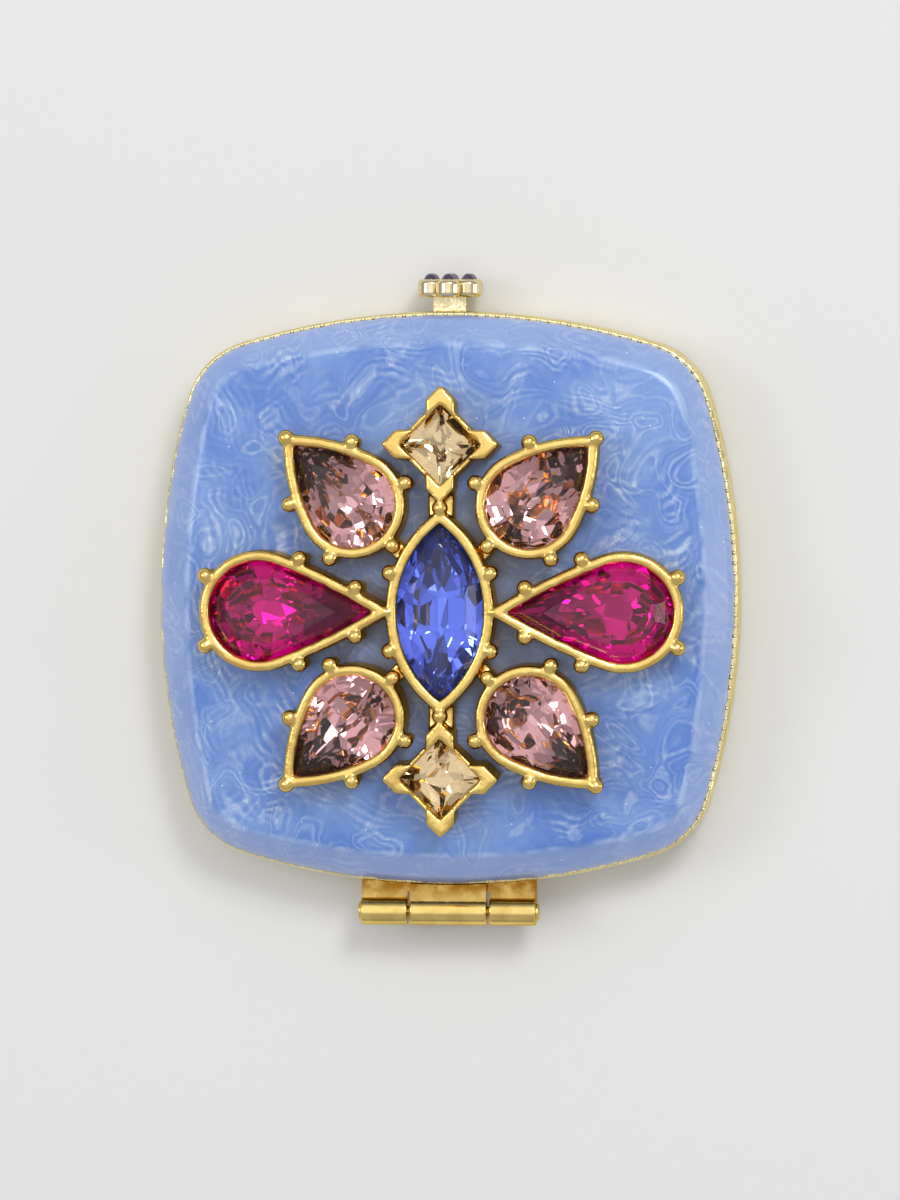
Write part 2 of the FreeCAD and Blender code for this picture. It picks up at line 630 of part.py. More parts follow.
def hinge_lid_leaf():
    """Leaf soldered to the lid's lip, with the middle knuckle."""
    body = new_body("hinge_lid_leaf")
    lid_leaf_plate(body, "core", "leaf_step")
    knuckle(body, "knuckle", "-mid_knuckle_w / 2", "mid_knuckle_w")
    fillet(body, "barrel_edges", "knuckle_edge_r", barrel_end)
    lid_leaf_plate(body, "leaf", "leaf_inset")
    bore(body, "pin_run_gap")
    seat = cushion_sketch(body, "seat_plan", ENAMEL_Z, "-bond_gap")
    pocket(body, "seat", seat, "lip_t + seam_gap")
    return body


def hinge_pin():
    """Pin through the three knuckles with a low head at each end."""
    body = new_body("hinge_pin")
    end = f"({HINGE_HALF} + bond_gap)"
    shank = circle_sketch(body, "shank_plan", "YZ_Plane", f"-{end}", [(HINGE_Y, HINGE_Z, "pin_r")])
    pad(body, "shank", shank, f"2 * {end}")
    for name, level in (("right_head", end), ("left_head", f"-({end} + pin_head_t)")):
        head = circle_sketch(body, name + "_plan", "YZ_Plane", level, [(HINGE_Y, HINGE_Z, "pin_head_r")])
        pad(body, name, head, "pin_head_t")
    fillet(body, "head_edges", "pin_head_edge_r",
           lambda edge: abs(edge.BoundBox.Center.x) > mm(f"{end} + pin_head_t / 2 + bond_gap"))
    return body


# Lid

def lid_form(name, skin, lip):
    """Solid lid drawn further in by a skin: a steep wall, a bevel and a domed top, over the gold
    lip where there is one."""
    body = new_body(name)
    if lip:
        pad(body, "lip", cushion_sketch(body, "lip_plan", LID_Z, "0"), "lip_t")
        fillet(body, "lip_edges", "lip_edge_r", is_level)
    inset = f"(enamel_set + {skin})"
    foot = cushion_sketch(body, "foot_plan", ENAMEL_Z, inset)
    sections = []
    for index, (across, up) in enumerate(shoulder_steps()):
        sections.append(cushion_sketch(body, f"shoulder_{index}_plan", f"{ENAMEL_Z} + wall_rise + {up}",
                                       f"{inset} + wall_run + {across}"))
    over = f"{BEVEL_OVER_SHARE}"
    sections.append(cushion_sketch(body, "ridge_plan", f"{ENAMEL_Z} + wall_rise + bevel_rise * {over}",
                                   f"{inset} + wall_run + bevel_run * {over}"))
    loft = body.newObject("PartDesign::AdditiveLoft", "sides")
    loft.Profile = foot
    loft.Sections = sections
    loft.Ruled = True
    doc.recompute()
    dome(body, skin)
    fillet(body, "ridge", "ridge_r", top_edge)
    return body


def shoulder_steps():
    """Steps across and up from the corner of wall and bevel, along the arc that rounds it."""
    low, high = "atan(wall_run / wall_rise)", "atan(bevel_run / bevel_rise)"
    spread = f"(1 + cos({high} - {low}))"
    steps = []
    for index in range(SHOULDER_STEP_COUNT):
        lean = f"({low} + ({high} - {low}) * {index} / {SHOULDER_STEP_COUNT - 1})"
        across = f"shoulder_r * ((cos({low}) + cos({high})) / {spread} - cos({lean}))"
        up = f"shoulder_r * (sin({lean}) - (sin({low}) + sin({high})) / {spread})"
        steps.append((across, up))
    return steps


def top_edge(edge):
    """Choose the edges where the bevel meets the dome."""
    middle = edge.valueAt((edge.FirstParameter + edge.LastParameter) / 2)
    reach = (middle - Vector(0, 0, mm(DOME_MIDDLE))).Length
    return reach > mm(f"{DOME_R} - enamel_t - fit_gap") and middle.z > mm(f"{ENAMEL_Z} + wall_rise + bevel_rise / 2")


def dome(body, skin):
    """Turn the top of the lid to a shallow dome, about a level axis through the dome's middle."""
    sketch = new_sketch(body, "dome_plan", "XZ_Plane", "0")
    radius, middle = f"({DOME_R} - {skin})", DOME_MIDDLE
    edge, roof = "(case_w / 2 + corner_r)", f"({DOME_TOP} + cut_over)"
    drop = f"({middle} + sqrt({radius}^2 - {edge}^2))"
    start = math.atan2(mm(drop) - mm(middle), mm(edge))
    circle = Part.Circle(Vector(0, mm(middle), 0), Vector(0, 0, 1), mm(radius))
    corners = [Vector(-mm(edge), mm(drop), 0), Vector(-mm(edge), mm(roof), 0),
               Vector(mm(edge), mm(roof), 0), Vector(mm(edge), mm(drop), 0)]
    sketch.addGeometry(Part.ArcOfCircle(circle, start, math.pi - start), False)
    for first, second in zip(corners, corners[1:]):
        sketch.addGeometry(Part.LineSegment(first, second), False)
    axis = Part.LineSegment(Vector(0, mm(middle), 0), Vector(mm(edge), mm(middle), 0))
    axis_index = sketch.addGeometry(axis, True)
    for index in range(4):
        sketch.addConstraint(Sketcher.Constraint("Coincident", index, 2, (index + 1) % 4, 1))
    fix_point(sketch, "middle", 0, 3, "0", middle)
    dimension(sketch, "dome", radius, "Radius", 0)
    fix_point(sketch, "left", 2, 1, f"-{edge}", roof)
    fix_point(sketch, "right", 3, 1, edge, roof)
    sketch.addConstraint(Sketcher.Constraint("Vertical", 1))
    sketch.addConstraint(Sketcher.Constraint("Vertical", 3))
    sketch.addConstraint(Sketcher.Constraint("Coincident", axis_index, 1, 0, 3))
    sketch.addConstraint(Sketcher.Constraint("Horizontal", axis_index))
    dimension(sketch, "axis", edge, "DistanceX", axis_index, 1, axis_index, 2)
    before = body.Shape.Volume
    groove = body.newObject("PartDesign::Groove", "dome")
    groove.Profile = sketch
    groove.ReferenceAxis = (sketch, ["Axis0"])
    groove.Midplane = True
    bind(groove, "Angle", f"2 * atan(case_d / {DOME_R})")
    doc.recompute()
    if not body.Shape.Volume < before:
        raise RuntimeError(f"{body.Name}: the dome cuts nothing")


def foot_holes(body, level, length):
    """Holes for the two feet of the jewel setting."""
    holes = circle_sketch(body, "foot_hole_plan", "XY_Plane", level,
                          [("0", "jewel_y + foot_y", "foot_r + stop_gap"),
                           ("0", "jewel_y - foot_y", "foot_r + stop_gap")])
    pocket(body, "foot_holes", holes, length)


def lid_enamel():
    """Domed skin of poured enamel over the lid shell."""
    outer = lid_form("enamel_outside", "0", False)
    foot_holes(outer, f"{DOME_TOP} + cut_over", "lid_crown_h + 2 * cut_over")
    inner = lid_form("enamel_inside", "enamel_t", False)
    return combine("Part::Cut", "lid_enamel", (outer, inner))


def lid_shell():
    """Cast lid under the enamel: gold lip, solid crown, and a hollow for mirror and frame."""
    body = lid_form("lid_shell", "(enamel_t + bond_gap)", True)
    mouth = cushion_sketch(body, "mouth_plan", LID_LEDGE, "lid_mouth_wall")
    pocket(body, "mouth", mouth, f"{LID_LEDGE} - {LID_Z} + cut_over")
    hollow = cushion_sketch(body, "hollow_plan", f"{LID_Z} + lid_cavity_h", "lid_cavity_wall")
    pocket(body, "hollow", hollow, "lid_cavity_h + cut_over")
    foot_holes(body, f"{DOME_TOP} + cut_over", "lid_crown_h + 2 * cut_over")
    return body


def lid_frame():
    """Flat gold frame under the lid mirror, slotted for the hook."""
    body = new_body("lid_frame")
    plan = cushion_sketch(body, "plan", f"{LID_LEDGE} - frame_t", "lid_mouth_wall + fit_gap")
    pad(body, "plate", plan, "frame_t")
    window = cushion_sketch(body, "window_plan", LID_LEDGE, "mirror_margin", "window_corner_r")
    pocket(body, "window", window, "frame_t + cut_over")
    half = "(hook_w / 2 + bond_gap)"
    slot = rectangle_sketch(body, "hook_slot_plan", "XY_Plane", LID_LEDGE, f"-{half}", half,
                            f"-({HOOK_FRONT} + bond_gap)", f"-({HOOK_BACK} - bond_gap)")
    pocket(body, "hook_slot", slot, "frame_t + cut_over")
    return body


def lid_pad():
    """Card pad between the lid mirror and the shell."""
    body = new_body("lid_mirror_pad")
    plan = cushion_sketch(body, "plan", f"{LID_LEDGE} + mirror_t", "lid_pad_margin", "pad_corner_r")
    pad(body, "card", plan, f"{LID_Z} + lid_cavity_h - ({LID_LEDGE} + mirror_t)")
    return body


def lid_hook():
    """Bent hook: flange on the lid frame, leg through the frames, nose under the catch bar."""
    body = new_body("lid_hook")
    nose_top = "(plate_z - fit_gap)"
    flange_end = "(case_d / 2 - mirror_margin + mirror_tuck + fit_gap)"
    flange_top = f"({LID_LEDGE} + hook_flange_t)"
    points = [
        (f"-{HOOK_FRONT}", f"{nose_top} - hook_nose_t"), (f"-{HOOK_BACK}", f"{nose_top} - hook_nose_t"),
        (f"-{NOSE_END}", f"{nose_top} - hook_tip_t"), (f"-{NOSE_END}", nose_top),
        (f"-{HOOK_BACK}", nose_top), (f"-{HOOK_BACK}", LID_LEDGE), (f"-{flange_end}", LID_LEDGE),
        (f"-{flange_end}", flange_top), (f"-{HOOK_FRONT}", flange_top),
    ]
    profile = polygon_sketch(body, "profile", "YZ_Plane", "-hook_w / 2", points)
    pad(body, "strip", profile, "hook_w")
    return body


# Button and catch

def catch_slide():
    """Stem of the button and the plate behind it, whose window the hook drops into."""
    body = new_body("catch_slide")
    half = "(stem_w / 2)"
    stem = rectangle_sketch(body, "stem_plan", "XZ_Plane", WINDOW_FRONT, f"-{half}", half,
                            "stem_z - stem_t / 2", "stem_z + stem_t / 2")
    pad(body, "stem", stem, f"{HEAD_BACK} - {WINDOW_FRONT}")
    root = rectangle_sketch(body, "root_plan", "XZ_Plane", WINDOW_FRONT, f"-{half}", half,
                            "plate_z", "stem_z")
    pad(body, "root", root, "plate_front")
    plate = rectangle_sketch(body, "plate_plan", "XY_Plane", "plate_z", "-plate_w / 2", "plate_w / 2",
                             f"-{PLATE_FACE}", f"-{BAR_BACK}")
    pad(body, "plate", plate, "plate_t")
    inner = "(plate_w / 2 - plate_side)"
    window = rectangle_sketch(body, "window_plan", "XY_Plane", "plate_z + plate_t", f"-{inner}", inner,
                              f"-{WINDOW_FRONT}", f"-{BAR_FRONT}")
    pocket(body, "window", window, "plate_t + cut_over")
    peg = circle_sketch(body, "peg_plan", "XZ_Plane", f"{BAR_BACK} - peg_tip_l", [("0", SPRING_Z, "peg_tip_r")])
    pad(body, "peg", peg, "peg_tip_l + plate_bar / 2")
    return body


def rounded_disc(name, x_text, z_text, radius):
    """Disc across the button's axis with both its edges rounded."""
    body = new_body(name)
    disc = circle_sketch(body, "plan", "XZ_Plane", f"{HEAD_BACK} + bond_gap", [(x_text, z_text, radius)])
    pad(body, "disc", disc, "head_t - bond_gap")
    fillet(body, "edges", "head_edge_r", lambda edge: edge.BoundBox.YLength < mm("bond_gap"))
    return body


def button_head():
    """Flower of round petals with a seat for a bead in each and one in the middle."""
    *petals, heart = bead_places()
    discs = [rounded_disc(f"petal_{index}", x_text, z_text, "petal_r")
             for index, (x_text, z_text) in enumerate(petals)]
    discs.append(rounded_disc("heart", *heart, "petal_ring_r"))
    flower = combine("Part::MultiFuse", "flower", discs)
    tool = new_body("bead_seats")
    seats = circle_sketch(tool, "seat_plan", "XZ_Plane", f"{HEAD_FACE} - bead_seat",
                          [(x_text, z_text, "bead_r + bond_gap") for x_text, z_text in bead_places()])
    pad(tool, "seats", seats, "bead_seat + cut_over")
    return combine("Part::Cut", "button_head", (flower, tool))


def bead_places():
    """Middles of the beads across the flower: one on each petal and one in the heart."""
    turns = [math.radians(PETAL_TURN + 360 / PETAL_COUNT * index) for index in range(PETAL_COUNT)]
    ring = [(f"petal_ring_r * {math.cos(turn):.6f}", f"stem_z + petal_ring_r * {math.sin(turn):.6f}")
            for turn in turns]
    return ring + [("0", "stem_z")]


def button_beads():
    """Round-topped dark beads set in the flower."""
    total = "(bead_seat + bead_rise)"
    beads = []
    for index, (x_text, z_text) in enumerate(bead_places()):
        bead = doc.addObject("Part::Ellipsoid", f"bead_{index}")
        bind(bead, "Radius1", total)
        bind(bead, "Radius2", "bead_r")
        bind(bead, "Radius3", "bead_r")
        bead.Angle1 = 0
        place = Vector(mm(x_text), mm(f"-({HEAD_FACE} - bead_seat)"), mm(z_text))
        bead.Placement = Placement(place, Rotation(Vector(0, 0, 1), Vector(0, -1, 0)))
        beads.append(bead)
    group = doc.addObject("Part::Compound", "button_beads")
    group.Links = beads
    return group


def catch_guide(name, side):
    """Folded channel beside the catch plate: a ledge under it, a wall and a flange over it."""
    body = new_body(name)
    near = "(plate_w / 2 + fit_gap)"
    lip, far = f"({near} - guide_lip)", f"({near} + guide_wall)"
    under, over = "(plate_z - fit_gap)", "(plate_z + plate_t + fit_gap)"
    profile = [(far, "base_floor"), (far, f"{over} + guide_flange_t"), (lip, f"{over} + guide_flange_t"),
               (lip, over), (near, over), (near, under), (lip, under), (lip, "base_floor")]
    placed = [(f"{side} * {x_text}", z_text) for x_text, z_text in profile]
    sketch = polygon_sketch(body, "profile", "XZ_Plane", BAR_BACK, placed)
    wall = f"(sqrt((side_r - base_wall)^2 - {far}^2) - {WALL_MIDDLE})"
    pad(body, "channel", sketch, f"{wall} - bond_gap - {BAR_BACK}")
    return body


def spring_seat():
    """Block on the base floor with a peg that holds the end of the return spring."""
    body = new_body("spring_seat")
    top = f"({BASE_LEDGE} - mirror_t - seat_top_gap)"
    block = rectangle_sketch(body, "block_plan", "XZ_Plane", f"{SEAT_FACE} - seat_t", "-seat_w / 2", "seat_w / 2",
                             "base_floor", top)
    pad(body, "block", block, "seat_t")
    peg = circle_sketch(body, "peg_plan", "XZ_Plane", f"{SEAT_FACE} - seat_t / 2", [("0", SPRING_Z, "peg_tip_r")])
    pad(body, "peg", peg, "peg_tip_l + seat_t / 2")
    return body


def arc_to(start, heading, end):
    """Arc that leaves start along a unit heading and passes through end."""
    chord = end - start
    line = Vector(chord).normalize()
    side = heading - line * heading.dot(line)
    turn = heading.getAngle(chord)
    bulge = side.normalize() * (chord.Length / 2 * math.tan(turn / 2))
    return Part.Arc(start, start + chord / 2 + bulge, end)


def catch_spring():
    """Coil of round wire between the catch plate and its seat, as arcs that run on smoothly."""
    radius, wire_r, turns = mm("spring_r"), mm("spring_wire_r"), int(mm("spring_turns"))
    start_y, rise = mm(f"-({BAR_BACK} - bond_gap) + spring_wire_r"), mm("spring_room - 2 * (spring_wire_r + bond_gap)")
    pitch = rise / turns

    def place(turn):
        angle = 2 * math.pi * turn
        return Vector(radius * math.cos(angle), start_y + pitch * turn, mm(SPRING_Z) + radius * math.sin(angle))

    def heading(turn):
        angle = 2 * math.pi * turn
        return Vector(-radius * math.sin(angle), pitch / (2 * math.pi), radius * math.cos(angle)).normalize()

    edges = []
    steps = turns * SPRING_ARC_COUNT
    for step in range(steps):
        first, second = step / SPRING_ARC_COUNT, (step + 1) / SPRING_ARC_COUNT
        low, high, low_way, high_way = place(first), place(second), heading(first), heading(second)
        span, spread = high - low, 1 - low_way.dot(high_way)
        along = span.dot(low_way + high_way)
        arm = (math.sqrt(along ** 2 + 2 * spread * span.dot(span)) - along) / (2 * spread)
        middle = (low + high + (low_way - high_way) * arm) / 2
        edges.append(arc_to(low, low_way, middle).toShape())
        edges.append(arc_to(high, -high_way, middle).toShape())
    path = Part.Wire(Part.__sortEdges__(edges))
    ring = Part.Wire([Part.Circle(place(0), heading(0), wire_r).toShape()])
    item = doc.addObject("Part::Feature", "catch_spring")
    item.Shape = path.makePipeShell([ring], True, False)
    print(f"catch_spring: least gap between turns {pitch - 2 * wire_r:.3f} mm")
    return item


# Jewel setting and stones

def dome_frame(x_text, y_text, turn):
    """Place square to the dome, with a turn about its normal. The setting's middle is the dome's."""
    x, y, radius = mm(x_text), mm(y_text), mm(DOME_R)
    height = math.sqrt(radius ** 2 - x ** 2 - y ** 2)
    spin = Rotation(Vector(0, 0, 1), Vector(x, y, height)) * Rotation(Vector(0, 0, 1), turn)
    return Placement(Vector(x, y + mm("jewel_y"), height + mm(DOME_MIDDLE)), spin)


def rim(edge):
    """Choose the edges of a collet's rim."""
    return at_height("collet_h")(edge)


def navette_rim(edge):
    """Choose the outer edges of the pointed oval's rim."""
    middle = edge.valueAt((edge.FirstParameter + edge.LastParameter) / 2)
    return rim(edge) and abs(middle.x) > mm("navette_w + collet_wall / 2")


def collet(name, outline, wall):
    """Walled seat for one stone, open below a ledge. outline(body, name, level, offset) draws it."""
    body = new_body(name)
    pad(body, "wall", outline(body, "wall_plan", "-collet_root", wall), "collet_h + collet_root")
    pocket(body, "seat", outline(body, "seat_plan", "collet_h", "stone_gap"), LEDGE_DEPTH)
    pocket(body, "hole", outline(body, "hole_plan", "collet_h", "-ledge_w"), "collet_h + collet_root + cut_over")
    return body


def pear_outline(body, name, level, offset):
    return drop_sketch(body, name, level, ("pear_round_r", "pear_tip", "pear_side_r"), offset)


def long_outline(body, name, level, offset):
    return drop_sketch(body, name, level, ("drop_round_r", "drop_tip", "drop_side_r"), offset)


def square_outline(body, name, level, offset):
    return polygon_sketch(body, name, "XY_Plane", level, square_points(offset))


def grain(name, frame, x, y):
    """Round grain on a short post beside a collet, placed in the collet's own frame."""
    ball = doc.addObject("Part::Sphere", name)
    bind(ball, "Radius", "grain_r")
    height = mm("collet_h - grain_drop")
    ball.Placement = frame.multiply(Placement(Vector(x, y, height), Rotation()))
    post = doc.addObject("Part::Cylinder", name + "_post")
    bind(post, "Radius", "post_r")
    bind(post, "Height", "collet_h - grain_drop + collet_root")
    post.Placement = frame.multiply(Placement(Vector(x, y, -mm("collet_root")), Rotation()))
    return [ball, post]


def drop_reach(sizes, angle):
    """Middle of a drop's round end to the middle of a grain, at an angle from its point."""
    round_r, tip, side_r = sizes
    across, along = (mm(text) for text in drop_centre(round_r, tip, side_r))
    turn = math.radians(abs(angle))
    if turn > math.atan2(along, -across):
        wall = mm(f"{round_r} + collet_wall")
    else:
        lean = across * math.cos(turn) - along * math.sin(turn)
        side = mm(f"{side_r} + collet_wall")
        wall = lean + math.sqrt(lean ** 2 - across ** 2 - along ** 2 + side ** 2)
    return wall + mm("grain_out")


def drop_grains(name, sizes, frame, angles):
    """Grains round one drop-shaped collet."""
    pieces = []
    for index, angle in enumerate(angles):
        reach = drop_reach(sizes, angle)
        if angle == 0:
            reach -= mm("grain_r")
        turn = math.radians(angle)
        pieces += grain(f"{name}_{index}", frame, reach * math.cos(turn), reach * math.sin(turn))
    return pieces


def bar(name, frame, middle, width, length):
    """Cast bar that joins two collets, along the frame's own Y."""
    item = doc.addObject("Part::Box", name)
    bind(item, "Length", width)
    bind(item, "Width", length)
    bind(item, "Height", "bridge_h + collet_root")
    corner = Vector(-mm(width) / 2, mm(middle) - mm(length) / 2, -mm("collet_root"))
    item.Placement = frame.multiply(Placement(corner, Rotation()))
    return item


def square_claws(body):
    """Four bent claws that hold a square stone by its corners."""
    outer = f"(square_half + (square_wall + claw_t) * sqrt(2))"
    inner = f"(square_half + stone_gap * sqrt(2))"
    arm = "(claw_arm / sqrt(2))"
    points = [(outer, "0"), (f"{outer} - {arm}", arm), (f"{inner} - {arm}", arm),
              (inner, "0"), (f"{inner} - {arm}", f"-{arm}"), (f"{outer} - {arm}", f"-{arm}")]
    tall = pad(body, "claw", polygon_sketch(body, "claw_plan", "XY_Plane", "-collet_root", points),
               "collet_h + collet_root + claw_rise")
    reach = f"({inner} - claw_tip)"
    tip_arm = "claw_tip"
    tip_points = [(f"{inner} + square_wall", "0"), (reach, tip_arm), (reach, f"-{tip_arm}")]
    tip = pad(body, "claw_tip", polygon_sketch(body, "claw_tip_plan", "XY_Plane",
              "collet_h + claw_rise - claw_tip_t", tip_points), "claw_tip_t")
    pattern = body.newObject("PartDesign::PolarPattern", "claws")
    pattern.Originals = [tall, tip]
    pattern.Axis = (next(item for item in body.Origin.OriginFeatures if item.Role == "Z_Axis"), [""])
    pattern.Occurrences = CLAW_COUNT
    body.Tip = pattern
    doc.recompute()


def jewel_setting():
    """One gold casting: collets, grains, claws and bars, trimmed to the dome, on two feet."""
    pear_sizes = ("pear_round_r", "pear_tip", "pear_side_r")
    drop_sizes = ("drop_round_r", "drop_tip", "drop_side_r")
    pear_frame = dome_frame("pear_x", "pear_y", PEAR_TURN)
    drop_frame = dome_frame("drop_x", "0", 180.0)
    square_frame = dome_frame("0", "square_y", 0.0)
    middle_frame = dome_frame("0", "0", 0.0)

    pear = collet("pear_collet", pear_outline, "collet_wall")
    fillet(pear, "rim", "rim_r", rim)
    pear.Placement = pear_frame
    web_frame = pear_frame.multiply(Placement(Vector(0, 0, 0), Rotation(Vector(0, 0, 1), 90)))
    web = bar("pear_web", web_frame, "pear_round_r + collet_wall - web_root + web_l / 2", "web_w", "web_l")
    quarter = combine("Part::MultiFuse", "pear_quarter",
                      [pear, web] + drop_grains("pear_grain", pear_sizes, pear_frame, PEAR_GRAIN_ANGLES))
    quarter_twin = mirrored(quarter, "pear_quarter_twin", Vector(1, 0, 0))

    square = collet("square_collet", square_outline, "square_wall")
    square_claws(square)
    square.Placement = square_frame
    bridge = bar("square_bridge", middle_frame, "bridge_y", "bridge_w", "bridge_l")
    end_grain = grain("navette_end", middle_frame, 0, mm("navette_end_y"))
    half = combine("Part::MultiFuse", "setting_half", [quarter, quarter_twin, square, bridge] + end_grain)
    half_twin = mirrored(half, "setting_half_twin", Vector(0, 1, 0))

    drop = collet("drop_collet", long_outline, "collet_wall")
    fillet(drop, "rim", "rim_r", rim)
    drop.Placement = drop_frame
    side = combine("Part::MultiFuse", "drop_side",
                   [drop] + drop_grains("drop_grain", drop_sizes, drop_frame, DROP_GRAIN_ANGLES))
    side_twin = mirrored(side, "drop_side_twin", Vector(1, 0, 0))

    navette = collet("navette_collet", navette_sketch, "collet_wall")
    fillet(navette, "rim", "rim_r", navette_rim)
    navette.Placement = middle_frame
    grains = []
    for index, (x_sign, y_sign) in enumerate(((1, 1), (1, -1), (-1, 1), (-1, -1))):
        grains += grain(f"navette_grain_{index}", middle_frame,
                        x_sign * mm("navette_grain_x"), y_sign * mm("navette_grain_y"))
    whole = combine("Part::MultiFuse", "setting_whole", [half, half_twin, side, side_twin, navette] + grains)

    ball = doc.addObject("Part::Sphere", "dome_ball")
    bind(ball, "Radius", f"{DOME_R} + bond_gap")
    bind(ball, "Placement.Base.z", DOME_MIDDLE)
    trimmed = combine("Part::Cut", "setting_trimmed", (whole, ball))
    feet = []
    for name, sign in (("foot_back", 1), ("foot_front", -1)):
        foot = doc.addObject("Part::Cylinder", name)
        bind(foot, "Radius", "foot_r")
        bind(foot, "Height", "foot_l + bridge_h / 2")
        bind(foot, "Placement.Base.y", f"jewel_y + {sign} * foot_y")
        bind(foot, "Placement.Base.z", f"{DOME_TOP} - foot_l")
        feet.append(foot)
    return combine("Part::MultiFuse", "jewel_setting", [trimmed] + feet)


def facet_plane(outline, azimuth, slope, level, share, upward):
    """Half space that lies beyond one facet: its foot touches the outline, drawn to a share of its
    reach, at a level, and it leans in by a slope towards the stone's top or bottom."""
    turned = outline.copy()
    turned.rotate(Vector(0, 0, 0), Vector(0, 0, 1), -azimuth)
    reach = turned.BoundBox.XMax * share
    size = 4 * max(outline.BoundBox.XLength, outline.BoundBox.YLength)
    block = Part.makeBox(size, size, size, Vector(-size / 2, -size / 2, 0))
    way = 1 if upward else -1
    lean = math.radians(slope)
    normal = Vector(math.sin(lean), 0, way * math.cos(lean))
    block.Placement = Placement(Vector(reach, 0, level), Rotation(Vector(0, 0, 1), normal))
    block.rotate(Vector(0, 0, 0), Vector(0, 0, 1), azimuth)
    return block


def faceted_stone(name, arcs, facets, first, frame):
    """Cut stone: table, star, main and half facets above the girdle, mains and halves below. The
    first main facet faces a given angle."""
    outline = Part.Face(Part.Wire(Part.__sortEdges__([arc.toShape() for arc in arcs])))
    top, bottom = mm("crown_h"), -mm("girdle_t + pavilion_h")
    girdle = -mm("girdle_t")
    rough = outline.copy()
    rough.translate(Vector(0, 0, bottom))
    stone = rough.extrude(Vector(0, 0, top - bottom))
    step = 360.0 / facets
    inset = top / math.tan(math.radians(CROWN_ANGLE))
    cutters = []
    for index in range(facets):
        main, star = first + step * index, first + step * (index + 0.5)
        cutters.append(facet_plane(outline, main, CROWN_ANGLE, 0, 1, True))
        cutters.append(facet_plane(outline, main, PAVILION_ANGLE, girdle, 1, False))
        for half in (main + step / 4, main - step / 4):
            cutters.append(facet_plane(outline, half, HALF_ANGLE, 0, 1, True))
            cutters.append(facet_plane(outline, half, PAVILION_HALF_ANGLE, girdle, 1, False))
        table = outline.copy()
        table.rotate(Vector(0, 0, 0), Vector(0, 0, 1), -star)
        reach = table.BoundBox.XMax
        share = STAR_SHARE * (reach - inset) / reach
        cutters.append(facet_plane(outline, star, STAR_ANGLE, top, share, True))
    for cutter in cutters:
        stone = stone.cut(cutter)
    item = doc.addObject("Part::Feature", name)
    item.Shape = stone.Solids[0]
    item.Placement = frame.multiply(Placement(Vector(0, 0, mm(GIRDLE_Z)), Rotation()))
    return item


def square_lines():
    corners = [Vector(mm(x_text), mm(y_text), 0) for x_text, y_text in square_points("0")]
    return [Part.LineSegment(start, end) for start, end in zip(corners, corners[1:] + corners[:1])]


def stones():
    """The nine stones, each pair or four made once and mirrored."""
    pear_frame = dome_frame("pear_x", "pear_y", PEAR_TURN)
    drop_frame = dome_frame("drop_x", "0", 180.0)
    square_frame = dome_frame("0", "square_y", 0.0)
    middle_frame = dome_frame("0", "0", 0.0)
    right, back = Vector(1, 0, 0), Vector(0, 1, 0)
    pear = faceted_stone("stone_pear_back_right", drop_arcs("pear_round_r", "pear_tip", "pear_side_r", "0"),
                         OVAL_FACET_COUNT, 0.0, pear_frame)
    pear_left = mirrored(pear, "stone_pear_back_left", right)
    drop = faceted_stone("stone_drop_right", drop_arcs("drop_round_r", "drop_tip", "drop_side_r", "0"),
                         OVAL_FACET_COUNT, 0.0, drop_frame)
    square = faceted_stone("stone_square_back", square_lines(), SQUARE_FACET_COUNT, SQUARE_FACET_TURN, square_frame)
    navette = faceted_stone("stone_navette", navette_arcs("0"), OVAL_FACET_COUNT, 0.0, middle_frame)
    return [
        pear, pear_left,
        mirrored(pear, "stone_pear_front_right", back),
        mirrored(pear_left, "stone_pear_front_left", back),
        drop, mirrored(drop, "stone_drop_left", right),
        square, mirrored(square, "stone_square_front", back),
        navette,
    ]


PIECES = [
    base_shell(), base_frame(), mirror("base_mirror", f"{BASE_LEDGE} - mirror_t"), base_pad(),
    hinge_base_leaf(), hinge_pin(),
    catch_guide("catch_guide_right", "1"), catch_guide("catch_guide_left", "-1"),
    spring_seat(), catch_spring(),
    lid_shell(), lid_enamel(), lid_frame(), mirror("lid_mirror", LID_LEDGE), lid_pad(),
    hinge_lid_leaf(), lid_hook(), jewel_setting(),
    catch_slide(), button_head(), button_beads(),
] + stones()

doc.recompute()

for item in doc.Objects:
    if "Invalid" in item.State or "Error" in item.State:
        raise RuntimeError(f"{item.Name} failed: {item.State}")
for piece in PIECES:
    if piece.Shape.isNull() or not piece.Shape.isValid() or piece.Shape.Volume <= 0:
        raise RuntimeError(f"{piece.Label} has no sound shape")

os.makedirs("parts", exist_ok=True)
for piece in PIECES:
    piece.Shape.exportStep(f"parts/{piece.Label}.step")
    print(f"{piece.Label}: {len(piece.Shape.Solids)} solid, {piece.Shape.Volume:.2f} mm3")
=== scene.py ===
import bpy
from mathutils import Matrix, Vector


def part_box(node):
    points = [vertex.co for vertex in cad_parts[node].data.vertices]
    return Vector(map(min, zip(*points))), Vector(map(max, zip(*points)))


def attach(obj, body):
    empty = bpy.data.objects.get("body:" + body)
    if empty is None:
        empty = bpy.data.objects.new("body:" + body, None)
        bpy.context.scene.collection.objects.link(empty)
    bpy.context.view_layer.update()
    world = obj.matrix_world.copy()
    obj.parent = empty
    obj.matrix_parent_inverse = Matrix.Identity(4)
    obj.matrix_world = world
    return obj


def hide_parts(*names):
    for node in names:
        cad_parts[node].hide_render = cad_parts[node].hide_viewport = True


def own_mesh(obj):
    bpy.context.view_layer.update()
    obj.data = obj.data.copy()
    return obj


bl_info = {
    "name": "Jewelled compact mirror",
    "version": (1, 0, 0),
    "blender": (4, 5, 0),
    "location": "3D View > Sidebar > Compact",
    "description": "Dresses a jewelled compact mirror and sets its floor, light and camera",
    "category": "Object",
}

